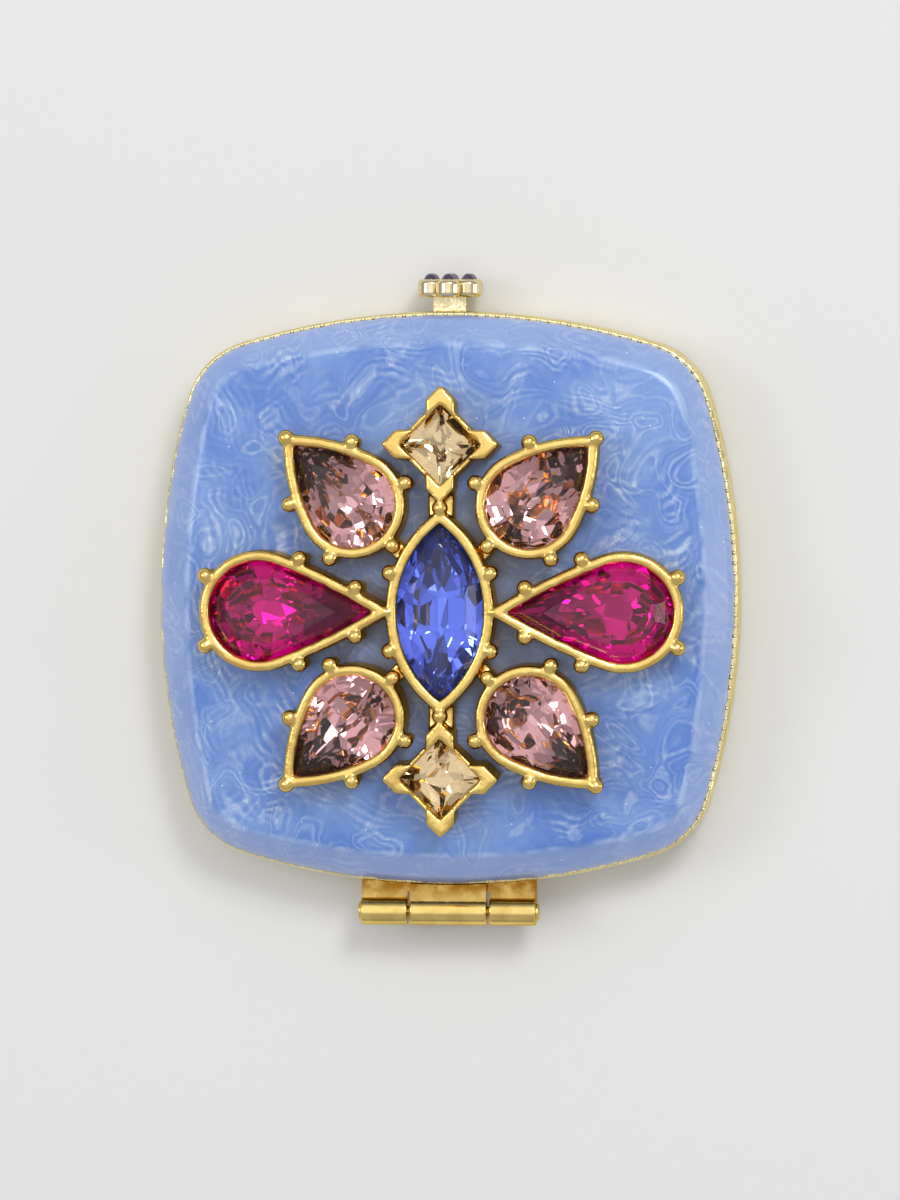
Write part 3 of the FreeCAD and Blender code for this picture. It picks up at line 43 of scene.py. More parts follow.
import math

import bmesh
import bpy
from mathutils import Matrix, Vector, kdtree, noise

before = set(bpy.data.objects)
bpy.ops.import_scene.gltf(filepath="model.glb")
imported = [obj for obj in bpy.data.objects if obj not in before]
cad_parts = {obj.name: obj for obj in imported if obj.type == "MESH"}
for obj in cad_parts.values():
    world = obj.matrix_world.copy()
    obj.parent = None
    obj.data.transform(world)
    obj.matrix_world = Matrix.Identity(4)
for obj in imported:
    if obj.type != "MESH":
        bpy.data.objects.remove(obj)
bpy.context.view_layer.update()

MM = 0.001
PER_MM = 1000.0

# Node settings that the materials share, and the middle of a noise's colours.
SOFT_ENDS = {"interpolation_type": "SMOOTHSTEP"}
OF_COLOURS = {"data_type": "RGBA"}
MID_GREY = (0.5, 0.5, 0.5)


def hex_colour(text):
    """Linear RGBA of an sRGB hex colour."""
    channels = [int(text[index:index + 2], 16) / 255 for index in (1, 3, 5)]
    linear = [c / 12.92 if c <= 0.04045 else ((c + 0.055) / 1.055) ** 2.4 for c in channels]
    return (*linear, 1.0)


def colour(name, description, text):
    """Colour property with its default given as sRGB hex."""
    return bpy.props.FloatVectorProperty(name=name, description=description, subtype="COLOR", size=4,
                                         min=0.0, max=1.0, default=hex_colour(text))


def length(name, description, millimetres):
    """Length property with its default given in millimetres."""
    return bpy.props.FloatProperty(name=name, description=description, default=millimetres * MM,
                                   min=0.0, unit="LENGTH", precision=5)


def angle(name, description, degrees):
    """Angle property with its default given in degrees."""
    return bpy.props.FloatProperty(name=name, description=description, default=math.radians(degrees),
                                   subtype="ANGLE")


class CompactSizes(bpy.types.PropertyGroup):
    """Sizes of the dressing that a user would change."""
    side_radius: length("Side radius", "Radius of the case's four bowed sides", 78.4)
    corner_radius: length("Corner radius", "Radius of the case's four corners", 8.85)
    casting_grain: length("Casting grain", "Cell size that softens the cast setting's edges", 0.17)
    casting_ripple: length("Casting ripple", "Width of the hand-finished unevenness of the casting", 1.6)
    casting_wobble: length("Casting wobble", "Height of the hand-finished unevenness of the casting", 0.08)
    casting_skin: length("Casting skin", "Metal left on the casting over its drawn size", 0.11)
    enamel_grain: length("Enamel grain", "Cell size of the enamel's skin", 0.36)
    enamel_lap: length("Enamel lap", "How far the enamel's foot runs out over the lip at most", 0.34)
    enamel_foot: length("Enamel foot", "Height over which the enamel's foot runs out", 1.3)
    bead_pitch: length("Bead pitch", "Distance between the beads of the milled edge", 1.15)
    bead_radius: length("Bead radius", "Radius of a bead of the milled edge", 0.3)
    bead_inset: length("Bead inset", "Lip's edge to the middle of a bead", 0.31)
    bead_drop: length("Bead drop", "Enamel's foot to the middle of a bead", 0.1)
    view_height: length("View height", "Height of the picture at the lid's lip", 132.8)
    view_distance: length("View distance", "Camera to the lid's lip", 900.0)
    view_aside: angle("View aside", "How far the camera leans from straight above to -X", 5.6)
    view_before: angle("View before", "How far the camera leans from straight above to the button", 2.5)


class CompactColours(bpy.types.PropertyGroup):
    """Colours of the finishes that a user would change."""
    enamel: colour("Enamel", "Body of the enamel", "#6E93D6")
    enamel_deep: colour("Enamel deep", "Deepest blue of the swirls", "#4F7ACB")
    enamel_pearl: colour("Enamel pearl", "Pale pearl streaks in the enamel", "#BBCDED")
    # Painted light: the sloping sides of the enamel are painted this paler colour, as the light they catch.
    enamel_painted_sheen: colour("Enamel edge", "Paler enamel where it thins down the sides", "#A6B9E2")
    enamel_fleck: colour("Enamel fleck", "Single bright flakes of mica", "#D3DFF5")
    # Painted shade: the enamel between the collets is painted this darker colour, where shade falls.
    enamel_painted_shade: colour("Enamel hollow", "Dull enamel between the collets, where no cloth reaches",
                          "#66728E")
    gold: colour("Yellow gold", "Plating of the cast setting", "#FAD880")
    # Painted shade: this tone is laid in the casting's hollows and upright sides as shade, and in random
    # patches.
    gold_shade: colour("Gold shade", "Tone of the yellow gold in the hollows", "#B87714")
    gold_hinge: colour("Hinge gold", "Plating of the hinge", "#F5D884")
    # Painted shade: brown painted on the hinge's leaves under the lid's edge, where shade falls.
    hinge_painted_shade: colour("Tarnish", "Brown of the hinge's leaves under the lid's edge", "#8F5C04")
    gold_pale: colour("Pale gold", "Plating of the case and its edge", "#FCEFBA")
    # Painted shade: this tone is laid in the case's hollows as shade, and in random patches and brush lines.
    gold_pale_shade: colour("Pale gold shade", "Tone of the pale gold in the hollows", "#B59650")
    gold_button: colour("Button gold", "Plating of the push button", "#F5E7C2")
    stone_blue: colour("Blue stone", "Glass of the pointed oval stone", "#768FFF")
    foil_blue: colour("Blue stone's foil", "Foil behind the pointed oval stone", "#ECEDFC")
    stone_pink: colour("Pink stone", "Glass of the four pear stones", "#E8BAC2")
    foil_pink: colour("Pink stone's foil", "Foil behind the pear stones", "#F4ECEA")
    stone_red: colour("Red stone", "Glass of the two drop stones", "#CA0878")
    foil_red: colour("Red stone's foil", "Foil behind the drop stones", "#F8DCF6")
    stone_straw: colour("Straw stone", "Glass of the two square stones", "#E6DAC4")
    foil_straw: colour("Straw stone's foil", "Foil behind the square stones", "#FAF2E2")
    bead: colour("Button bead", "Glass of the button's beads", "#3A2A44")
    bead_light: colour("Button bead light", "Lighter drifts in the beads' glass", "#6B5A78")
    floor: colour("Floor", "Colour of the floor", "#E3E3E3")


def add(tree, kind, inputs=None, **settings):
    """Add a node with its settings, and values or links for its inputs."""
    item = tree.nodes.new(kind)
    for name, value in settings.items():
        setattr(item, name, value)
    plug(tree, item, inputs or {})
    return item


def plug(tree, item, inputs):
    """Set a node's inputs, by name or number. A node or an output given as a value is linked: of a
    node, the first output in use. Of inputs with one name, the one in use is meant."""
    for key, value in inputs.items():
        socket = item.inputs[key]
        if not socket.enabled:
            socket = next(other for other in item.inputs if other.enabled and other.name == key)
        if isinstance(value, bpy.types.Node):
            value = next(output for output in value.outputs if output.enabled)
        if isinstance(value, bpy.types.NodeSocket):
            tree.links.new(value, socket)
        else:
            socket.default_value = value


def start_material(name):
    """New material with its tree and shader."""
    material = bpy.data.materials.new(name)
    material.use_nodes = True
    tree = material.node_tree
    return material, tree, tree.nodes["Principled BSDF"]


def in_millimetres(tree):
    """Place on the object, in millimetres, which a pattern's sizes are given in too."""
    place = add(tree, "ShaderNodeTexCoord").outputs["Object"]
    return add(tree, "ShaderNodeVectorMath", {0: place, "Scale": PER_MM}, operation="SCALE")


def facing_up(tree):
    """How far the surface faces up from the case: 1 where level, 0 on a wall."""
    normal = add(tree, "ShaderNodeTexCoord").outputs["Normal"]
    return add(tree, "ShaderNodeSeparateXYZ", {0: normal}).outputs["Z"]


def warped(tree, place, size, amount):
    """Place pushed about by soft noise of a size, by an amount, both in millimetres."""
    push = add(tree, "ShaderNodeTexNoise", {"Vector": place, "Scale": 1 / size, "Detail": 1.0})
    centred = add(tree, "ShaderNodeVectorMath", {0: push.outputs["Color"], 1: MID_GREY},
                  operation="SUBTRACT")
    scaled = add(tree, "ShaderNodeVectorMath", {0: centred, "Scale": amount}, operation="SCALE")
    return add(tree, "ShaderNodeVectorMath", {0: place, 1: scaled}, operation="ADD")


def elsewhere(tree, flow, seed):
    """The flow moved to another spot of an endless pattern, chosen by a seed."""
    stride = (1.0, 2.3, 0.7)
    return add(tree, "ShaderNodeVectorMath", {0: flow, 1: [step * seed for step in stride]},
               operation="ADD")


def whorls(tree, flow, size, lines, seed):
    """Combed whorls: frayed lines, in groups, round the hills of soft noise of a size."""
    fray_size, fray_turn, group_rate = 1.3, 5.0, 0.29
    moved = elsewhere(tree, flow, seed)
    hill = add(tree, "ShaderNodeTexNoise", {"Vector": moved, "Scale": 1 / size, "Detail": 0.7,
                                            "Roughness": 0.35})
    fray = add(tree, "ShaderNodeTexNoise", {"Vector": moved, "Scale": 1 / fray_size, "Detail": 3.0})
    turns = add(tree, "ShaderNodeMath", {0: hill, 1: math.tau * lines}, operation="MULTIPLY")
    frayed = add(tree, "ShaderNodeMath", {0: fray, 1: fray_turn, 2: turns}, operation="MULTIPLY_ADD")
    wave = add(tree, "ShaderNodeMath", {0: frayed}, operation="SINE")
    line = add(tree, "ShaderNodeMapRange", {"Value": wave, "From Min": -0.8}, **SOFT_ENDS)
    slow = add(tree, "ShaderNodeMath", {0: frayed, 1: group_rate}, operation="MULTIPLY")
    slow = add(tree, "ShaderNodeMath", {0: slow}, operation="SINE")
    group = add(tree, "ShaderNodeMapRange", {"Value": slow, "From Min": -0.7, "From Max": 0.8,
                                             "To Min": 0.2}, **SOFT_ENDS)
    return add(tree, "ShaderNodeMath", {0: line, 1: group}, operation="MULTIPLY")


def feathered(tree, flow, size, pitch, seed):
    """Combed strokes of a size: in each, soft lines at a pitch run in arcs round a middle of its own."""
    fray_size, fray_turn, aside_share = 2.2, 6.5, 1.6
    moved = elsewhere(tree, flow, seed)
    stroke = add(tree, "ShaderNodeTexVoronoi", {"Vector": moved, "Scale": 1 / size, "Smoothness": 0.3},
                 feature="SMOOTH_F1").outputs
    middle = add(tree, "ShaderNodeVectorMath", {0: stroke["Position"], "Scale": size}, operation="SCALE")
    aside = add(tree, "ShaderNodeVectorMath", {0: stroke["Color"], 1: MID_GREY}, operation="SUBTRACT")
    aside = add(tree, "ShaderNodeVectorMath", {0: aside, "Scale": aside_share * size}, operation="SCALE")
    middle = add(tree, "ShaderNodeVectorMath", {0: middle, 1: aside}, operation="ADD")
    reach = add(tree, "ShaderNodeVectorMath", {0: moved, 1: middle}, operation="DISTANCE")
    fray = add(tree, "ShaderNodeTexNoise", {"Vector": moved, "Scale": 1 / fray_size, "Detail": 2.5})
    turns = add(tree, "ShaderNodeMath", {0: reach, 1: math.tau / pitch}, operation="MULTIPLY")
    frayed = add(tree, "ShaderNodeMath", {0: fray, 1: fray_turn, 2: turns}, operation="MULTIPLY_ADD")
    wave = add(tree, "ShaderNodeMath", {0: frayed}, operation="SINE")
    line = add(tree, "ShaderNodeMapRange", {"Value": wave, "From Min": -0.7}, **SOFT_ENDS)
    inside = add(tree, "ShaderNodeMapRange", {"Value": stroke["Distance"], "From Min": 0.72,
                                              "From Max": 0.2, "To Min": 0.12}, **SOFT_ENDS)
    worn = add(tree, "ShaderNodeMapRange", {"Value": fray, "From Min": 0.36, "From Max": 0.64,
                                            "To Min": 0.35}, **SOFT_ENDS)
    kept = add(tree, "ShaderNodeMath", {0: line, 1: inside}, operation="MULTIPLY")
    return add(tree, "ShaderNodeMath", {0: kept, 1: worn}, operation="MULTIPLY")


def combed_pearl(tree, place, flow):
    """Share of pale mica: strokes that lie along each side of the lid, with whorls over them, calm in
    patches and grained as mica is."""
    stroke, pitch = 4.6, 0.8
    long_way, short_way = 0.62, 1.2
    border_size, border_width, border_seam = 5.0, 40.0, 2.5
    calm_size, whorl_share = 6.0, 0.6
    mica_size = 0.5  # Mica is finer than this, and is drawn as coarse as it needs to show.
    across = add(tree, "ShaderNodeMapping", {"Vector": flow, "Scale": (long_way, short_way, 1.0)})
    across = feathered(tree, across, stroke, pitch, seed=3.0)
    along = add(tree, "ShaderNodeMapping", {"Vector": flow, "Scale": (short_way, long_way, 1.0)})
    along = feathered(tree, along, stroke, pitch, seed=17.0)
    loops = whorls(tree, flow, size=4.4, lines=11.0, seed=9.0)
    reach = add(tree, "ShaderNodeVectorMath", {0: place}, operation="ABSOLUTE")
    reach = add(tree, "ShaderNodeSeparateXYZ", {0: reach}).outputs
    aside = add(tree, "ShaderNodeMath", {0: reach["X"], 1: reach["Y"]}, operation="SUBTRACT")
    border = add(tree, "ShaderNodeTexNoise", {"Vector": flow, "Scale": 1 / border_size, "Detail": 1.0})
    ragged = add(tree, "ShaderNodeMath", {0: border, 1: border_width, 2: aside},
                 operation="MULTIPLY_ADD")
    chosen = add(tree, "ShaderNodeMapRange", {"Value": ragged, "From Min": border_width / 2 - border_seam,
                                              "From Max": border_width / 2 + border_seam}, **SOFT_ENDS)
    strokes = add(tree, "ShaderNodeMix", {"Factor": chosen, "A": across, "B": along})
    combed = add(tree, "ShaderNodeMath", {0: loops, 1: whorl_share, 2: strokes}, operation="MULTIPLY_ADD")
    calm = add(tree, "ShaderNodeTexNoise", {"Vector": place, "Scale": 1 / calm_size, "Detail": 2.0})
    calm = add(tree, "ShaderNodeMapRange", {"Value": calm, "From Min": 0.36, "From Max": 0.62,
                                            "To Min": 0.34, "To Max": 0.68}, **SOFT_ENDS)
    mica = add(tree, "ShaderNodeTexNoise", {"Vector": flow, "Scale": 1 / mica_size, "Detail": 2.0})
    mica = add(tree, "ShaderNodeMapRange", {"Value": mica, "From Min": 0.36, "From Max": 0.72,
                                            "To Min": 0.65, "To Max": 1.4}, **SOFT_ENDS)
    calmed = add(tree, "ShaderNodeMath", {0: combed, 1: calm}, operation="MULTIPLY")
    return add(tree, "ShaderNodeMath", {0: calmed, 1: mica}, operation="MULTIPLY")


def painted_ridge_highlight(tree, place, level):
    """Share of pearl on the ridge round the lid's top: a painted highlight, in patches."""
    patch_size = 3.5
    rise = add(tree, "ShaderNodeMapRange", {"Value": level, "From Min": 0.78, "From Max": 0.88},
               **SOFT_ENDS)
    fall = add(tree, "ShaderNodeMapRange", {"Value": level, "From Min": 0.985, "From Max": 0.93},
               **SOFT_ENDS)
    patch = add(tree, "ShaderNodeTexNoise", {"Vector": place, "Scale": 1 / patch_size, "Detail": 3.0})
    patch = add(tree, "ShaderNodeMapRange", {"Value": patch, "From Min": 0.35, "From Max": 0.65,
                                             "To Min": 0.05, "To Max": 0.55}, **SOFT_ENDS)
    ridge = add(tree, "ShaderNodeMath", {0: rise, 1: fall}, operation="MULTIPLY")
    return add(tree, "ShaderNodeMath", {0: ridge, 1: patch}, operation="MULTIPLY")


def mica_flecks(tree, place):
    """Single flakes of mica that catch the light, in a few of the pattern's cells."""
    unlit = 0.8
    cell = 0.8  # Flakes are smaller and closer than this, and are drawn as coarse as they need to show.
    fleck = add(tree, "ShaderNodeTexVoronoi", {"Vector": place, "Scale": 1 / cell}).outputs
    near = add(tree, "ShaderNodeMapRange", {"Value": fleck["Distance"], "From Min": 0.16,
                                            "From Max": 0.06}, **SOFT_ENDS)
    lit = add(tree, "ShaderNodeMath", {0: fleck["Color"], 1: unlit}, operation="GREATER_THAN")
    return add(tree, "ShaderNodeMath", {0: near, 1: lit}, operation="MULTIPLY")


def pearl_enamel(colours):
    """Cold-poured pearl enamel: combed whorls of pale mica in blue, under a clear uneven gloss.
    Painted light: paler on the ridge round the top and down the sloping sides. Painted shade between the
    collets."""
    depth_size, pool_size, pool_height = 7.0, 4.5, 0.2 * MM
    material, tree, shader = start_material("pearl_enamel")
    place = in_millimetres(tree)
    flow = warped(tree, place, size=9.0, amount=6.5)
    flow = warped(tree, flow, size=3.6, amount=1.5)
    depth = add(tree, "ShaderNodeTexNoise", {"Vector": flow, "Scale": 1 / depth_size, "Detail": 3.0})
    depth = add(tree, "ShaderNodeMapRange", {"Value": depth, "From Min": 0.34, "From Max": 0.66},
                **SOFT_ENDS)
    finish = add(tree, "ShaderNodeMix", {"Factor": depth, "A": colours.enamel_deep,
                                         "B": colours.enamel}, **OF_COLOURS)
    level = facing_up(tree)
    # Painted light: paler as the surface turns from level down the sides.
    painted_side_sheen = add(tree, "ShaderNodeMapRange", {"Value": level, "From Min": 0.97, "From Max": 0.72,
                                            "To Max": 0.6}, **SOFT_ENDS)
    # Painted shade between the collets, from the mark made on the enamel's mesh.
    hollow = add(tree, "ShaderNodeAttribute", attribute_name="painted_collet_shade").outputs["Fac"]
    layers = (
        (combed_pearl(tree, place, flow), colours.enamel_pearl),
        (painted_side_sheen, colours.enamel_painted_sheen),
        # Painted highlight along the ridge round the top.
        (painted_ridge_highlight(tree, place, level), colours.enamel_pearl),
        (mica_flecks(tree, place), colours.enamel_fleck),
        (hollow, colours.enamel_painted_shade),
    )
    for share, tone in layers:
        finish = add(tree, "ShaderNodeMix", {"Factor": share, "A": finish, "B": tone}, **OF_COLOURS)
    pool = add(tree, "ShaderNodeTexNoise", {"Vector": place, "Scale": 1 / pool_size, "Detail": 3.0})
    bump = add(tree, "ShaderNodeBump", {"Height": pool, "Strength": 0.35, "Distance": pool_height})
    plug(tree, shader, {"Base Color": finish, "Roughness": 0.36, "IOR": 1.5, "Coat Weight": 0.5,
                        "Coat Roughness": 0.16, "Normal": bump})
    return material


def cast_gold(name, tone, shade, roughness, wobble, grain=0.9, painted_wall_shade=0.0):
    """Gold-plated casting: warm metal in tones that differ at random, with painted shade in its hollows
    and, by a share, on its upright sides, and with hand-finished waviness of a grain."""
    patch_size, wave_height = 2.6, 0.2 * MM
    duller, shinier = 1.3, 0.75
    material, tree, shader = start_material(name)
    place = in_millimetres(tree)
    patch = add(tree, "ShaderNodeTexNoise", {"Vector": place, "Scale": 1 / patch_size, "Detail": 3.0})
    patchy = add(tree, "ShaderNodeMapRange", {"Value": patch, "From Min": 0.35, "From Max": 0.75,
                                              "To Max": 0.3}, **SOFT_ENDS)
    # Painted shade on the upright sides, by the share given.
    wall = add(tree, "ShaderNodeMapRange", {"Value": facing_up(tree), "From Min": 0.9, "From Max": 0.1,
                                            "To Max": painted_wall_shade}, **SOFT_ENDS)
    # Painted shade in the hollows, where the surface curves inward.
    hollow = add(tree, "ShaderNodeNewGeometry").outputs["Pointiness"]
    hollow = add(tree, "ShaderNodeMapRange", {"Value": hollow, "From Min": 0.51, "From Max": 0.41},
                 **SOFT_ENDS)
    metal = tone
    for share in (patchy, wall, hollow):
        metal = add(tree, "ShaderNodeMix", {"Factor": share, "A": metal, "B": shade}, **OF_COLOURS)
    rough = add(tree, "ShaderNodeMapRange", {"Value": patch, "From Min": 0.3, "From Max": 0.7,
                                             "To Min": roughness * shinier,
                                             "To Max": roughness * duller}, **SOFT_ENDS)
    wave = add(tree, "ShaderNodeTexNoise", {"Vector": place, "Scale": 1 / grain, "Detail": 3.0})
    bump = add(tree, "ShaderNodeBump", {"Height": wave, "Strength": wobble, "Distance": wave_height})
    plug(tree, shader, {"Base Color": metal, "Metallic": 1.0, "Roughness": rough, "Specular Tint": tone,
                        "Normal": bump})
    return material


def hinge_gold(tone, painted_leaf_shade):
    """Polished yellow gold of the hinge, with brown painted shade on the leaves: darkest under the lid's
    edge, fading out on the barrel, in streaks.
    """
    streak_size = 1.5
    lid_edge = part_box("lid_shell")[1].y * PER_MM
    low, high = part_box("hinge_pin")
    to_axis = (low.y + high.y) / 2 * PER_MM - lid_edge
    leaf_start, leaf_end, barrel_start, barrel_unshaded = (
        lid_edge + to_axis * share for share in (0.016, 0.574, 0.639, 0.803))
    material = cast_gold("polished_hinge_gold", tone, painted_leaf_shade, roughness=0.14, wobble=0.06)
    tree = material.node_tree
    shader = tree.nodes["Principled BSDF"]
    unshaded = shader.inputs["Base Color"].links[0].from_socket
    place = in_millimetres(tree)
    back = add(tree, "ShaderNodeSeparateXYZ", {0: place}).outputs["Y"]
    # Painted shade: darkest next to the lid's edge, less towards the barrel, and gone partway along it.
    leaf = add(tree, "ShaderNodeMapRange", {"Value": back, "From Min": leaf_start, "From Max": leaf_end,
                                            "To Min": 0.95, "To Max": 0.5}, **SOFT_ENDS)
    barrel = add(tree, "ShaderNodeMapRange", {"Value": back, "From Min": barrel_unshaded,
                                              "From Max": barrel_start}, **SOFT_ENDS)
    streak = add(tree, "ShaderNodeTexNoise", {"Vector": place, "Scale": 1 / streak_size, "Detail": 2.0})
    streaky = add(tree, "ShaderNodeMapRange", {"Value": streak, "From Min": 0.3, "From Max": 0.6,
                                               "To Min": 0.55}, **SOFT_ENDS)
    share = add(tree, "ShaderNodeMath", {0: leaf, 1: barrel}, operation="MULTIPLY")
    share = add(tree, "ShaderNodeMath", {0: share, 1: streaky}, operation="MULTIPLY")
    metal = add(tree, "ShaderNodeMix", {"Factor": share, "A": unshaded, "B": painted_leaf_shade}, **OF_COLOURS)
    plug(tree, shader, {"Base Color": metal})
    return material


def brushed_gold(name, tone, shade):
    """Gold-plated sheet, brushed one way: fine lines that stretch the highlights."""
    line_run, line_height = 12.5, 0.05 * MM
    lines_per_mm = 6.0  # Brushing is finer than this, and is drawn as coarse as it needs to show.
    material, tree, shader = start_material(name)
    lines = add(tree, "ShaderNodeMapping", {"Vector": in_millimetres(tree),
                                            "Scale": (1 / line_run, lines_per_mm, 1.0)})
    brush = add(tree, "ShaderNodeTexNoise", {"Vector": lines, "Scale": 1.0, "Detail": 4.0})
    share = add(tree, "ShaderNodeMapRange", {"Value": brush, "From Min": 0.3, "From Max": 0.8,
                                             "To Max": 0.35}, **SOFT_ENDS)
    metal = add(tree, "ShaderNodeMix", {"Factor": share, "A": tone, "B": shade}, **OF_COLOURS)
    rough = add(tree, "ShaderNodeMapRange", {"Value": brush, "From Min": 0.3, "From Max": 0.7,
                                             "To Min": 0.22, "To Max": 0.36}, **SOFT_ENDS)
    bump = add(tree, "ShaderNodeBump", {"Height": brush, "Strength": 0.12, "Distance": line_height})
    plug(tree, shader, {"Base Color": metal, "Metallic": 1.0, "Roughness": rough, "Normal": bump})
    return material


def foiled_glass(name, tint, foil, facet, steep=1.16, shine=0.96):
    """Cut crystal with a foiled back: clear coloured crown, and below the girdle mirror-bright facets
    of a size, each leaning its own way, so that some flash and some stay dark."""
    girdle, lean_most, foil_rough = -0.2, 0.31, 0.02
    material, tree, shader = start_material(name)
    normal = add(tree, "ShaderNodeTexCoord").outputs["Normal"]
    up = add(tree, "ShaderNodeSeparateXYZ", {0: normal}).outputs["Z"]
    # Seen from inside the stone the normal is turned round, so it is turned back.
    inside = add(tree, "ShaderNodeNewGeometry").outputs["Backfacing"]
    side = add(tree, "ShaderNodeMapRange", {"Value": inside, "To Min": 1.0, "To Max": -1.0}, **SOFT_ENDS)
    outward = add(tree, "ShaderNodeMath", {0: up, 1: side}, operation="MULTIPLY")
    back = add(tree, "ShaderNodeMath", {0: outward, 1: girdle}, operation="LESS_THAN")
    clear = add(tree, "ShaderNodeMath", {0: 1.0, 1: back}, operation="SUBTRACT")
    metal = add(tree, "ShaderNodeMath", {0: back, 1: shine}, operation="MULTIPLY")
    rough = add(tree, "ShaderNodeMapRange", {"Value": back, "To Max": foil_rough}, **SOFT_ENDS)
    glass = add(tree, "ShaderNodeMix", {"Factor": back, "A": tint, "B": foil}, **OF_COLOURS)
    flare = add(tree, "ShaderNodeMapRange", {"Value": back, "To Min": 1.0, "To Max": steep}, **SOFT_ENDS)
    flare = add(tree, "ShaderNodeCombineXYZ", {"X": flare, "Y": flare, "Z": 1.0})
    leaned = add(tree, "ShaderNodeVectorMath", {0: normal, 1: flare}, operation="MULTIPLY")
    cut = add(tree, "ShaderNodeTexVoronoi", {"Vector": in_millimetres(tree), "Scale": 1 / facet,
                                             "Randomness": 0.75})
    lean = add(tree, "ShaderNodeVectorMath", {0: cut.outputs["Color"], 1: MID_GREY}, operation="SUBTRACT")
    amount = add(tree, "ShaderNodeMath", {0: back, 1: lean_most}, operation="MULTIPLY")
    lean = add(tree, "ShaderNodeVectorMath", {0: lean, "Scale": amount}, operation="SCALE")
    leaned = add(tree, "ShaderNodeVectorMath", {0: leaned, 1: lean}, operation="ADD")
    placed = add(tree, "ShaderNodeVectorTransform", {0: leaned}, vector_type="NORMAL",
                 convert_from="OBJECT", convert_to="WORLD")
    facing = add(tree, "ShaderNodeVectorMath", {0: placed}, operation="NORMALIZE")
    plug(tree, shader, {"Base Color": glass, "Metallic": metal, "Roughness": rough, "IOR": 1.5,
                        "Specular IOR Level": 0.1, "Transmission Weight": clear, "Normal": facing})
    return material


def polished_glass(name, tint, light):
    """Dark polished cabochon glass, nearly opaque, with a slow drift of tone."""
    drift_size = 1.2
    material, tree, shader = start_material(name)
    drift = add(tree, "ShaderNodeTexNoise", {"Vector": in_millimetres(tree), "Scale": 1 / drift_size,
                                             "Detail": 2.0})
    share = add(tree, "ShaderNodeMapRange", {"Value": drift, "From Min": 0.35, "From Max": 0.7,
                                             "To Max": 0.5}, **SOFT_ENDS)
    toned = add(tree, "ShaderNodeMix", {"Factor": share, "A": tint, "B": light}, **OF_COLOURS)
    plug(tree, shader, {"Base Color": toned, "Roughness": 0.08, "IOR": 1.55, "Coat Weight": 0.6,
                        "Coat Roughness": 0.03})
    return material


def silvered_glass():
    """Mirror: silvered float glass with a faint breath of haze."""
    bright, hazed, haze_size = hex_colour("#F3F5F6"), hex_colour("#E4E8EA"), 9.0
    material, tree, shader = start_material("silvered_mirror")
    haze = add(tree, "ShaderNodeTexNoise", {"Vector": in_millimetres(tree), "Scale": 1 / haze_size,
                                            "Detail": 4.0})
    rough = add(tree, "ShaderNodeMapRange", {"Value": haze, "From Min": 0.4, "From Max": 0.8,
                                             "To Min": 0.015, "To Max": 0.05}, **SOFT_ENDS)
    tone = add(tree, "ShaderNodeMix", {"Factor": haze, "A": bright, "B": hazed}, **OF_COLOURS)
    plug(tree, shader, {"Base Color": tone, "Metallic": 1.0, "Roughness": rough})
    return material


def foam_board():
    """Matt grey foam board behind the mirrors, with open cells."""
    cell, wall, cell_size = hex_colour("#4A4848"), hex_colour("#6A6766"), 0.5
    material, tree, shader = start_material("foam_board")
    cells = add(tree, "ShaderNodeTexVoronoi", {"Vector": in_millimetres(tree), "Scale": 1 / cell_size})
    share = add(tree, "ShaderNodeMapRange", {"Value": cells, "From Min": 0.1, "From Max": 0.6}, **SOFT_ENDS)
    tone = add(tree, "ShaderNodeMix", {"Factor": share, "A": cell, "B": wall}, **OF_COLOURS)
    plug(tree, shader, {"Base Color": tone, "Roughness": 0.85})
    return material


def drawn_steel():
    """Drawn steel wire: bright, with fine lengthwise lines."""
    bright, paint_collet_shade = hex_colour("#C9C6BF"), hex_colour("#A9A69F")
    line_run = 5.0
    lines_per_mm = 5.0  # Die lines are finer than this, and are drawn as coarse as they need to show.
    material, tree, shader = start_material("drawn_steel")
    lines = add(tree, "ShaderNodeMapping", {"Vector": in_millimetres(tree),
                                            "Scale": (1 / line_run, lines_per_mm, lines_per_mm)})
    grain = add(tree, "ShaderNodeTexNoise", {"Vector": lines, "Scale": 1.0, "Detail": 3.0})
    rough = add(tree, "ShaderNodeMapRange", {"Value": grain, "From Min": 0.3, "From Max": 0.7,
                                             "To Min": 0.18, "To Max": 0.34}, **SOFT_ENDS)
    tone = add(tree, "ShaderNodeMix", {"Factor": grain, "A": bright, "B": paint_collet_shade}, **OF_COLOURS)
    plug(tree, shader, {"Base Color": tone, "Metallic": 1.0, "Roughness": rough})
    return material


def dress(material, *nodes):
    """Give CAD nodes one material."""
    for name in nodes:
        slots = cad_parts[name].data.materials
        slots.clear()
        slots.append(material)


def new_piece(name, mesh, material):
    """Object for a finished mesh, in the scene, with its material."""
    mesh.name = name
    piece = bpy.data.objects.new(name, mesh)
    bpy.context.scene.collection.objects.link(piece)
    mesh.materials.clear()
    mesh.materials.append(material)
    return piece


def copied_mesh(node):
    """Copy of a CAD node's mesh with its loose triangles joined."""
    same_point = 0.002 * MM
    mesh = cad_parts[node].data.copy()
    shape = bmesh.new()
    shape.from_mesh(mesh)
    bmesh.ops.remove_doubles(shape, verts=shape.verts, dist=same_point)
    shape.to_mesh(mesh)
    shape.free()
    return mesh


def softened(name, node, cell, material):
    """Scratch object of a CAD node's shape on an even grid of cells, its edges worn round."""
    rough = new_piece(name, copied_mesh(node), material)
    cells = rough.modifiers.new("cells", "REMESH")
    cells.mode = "VOXEL"
    cells.voxel_size = cell
    soft = rough.modifiers.new("soft", "SMOOTH")
    soft.factor = 0.5
    soft.iterations = 6
    return rough


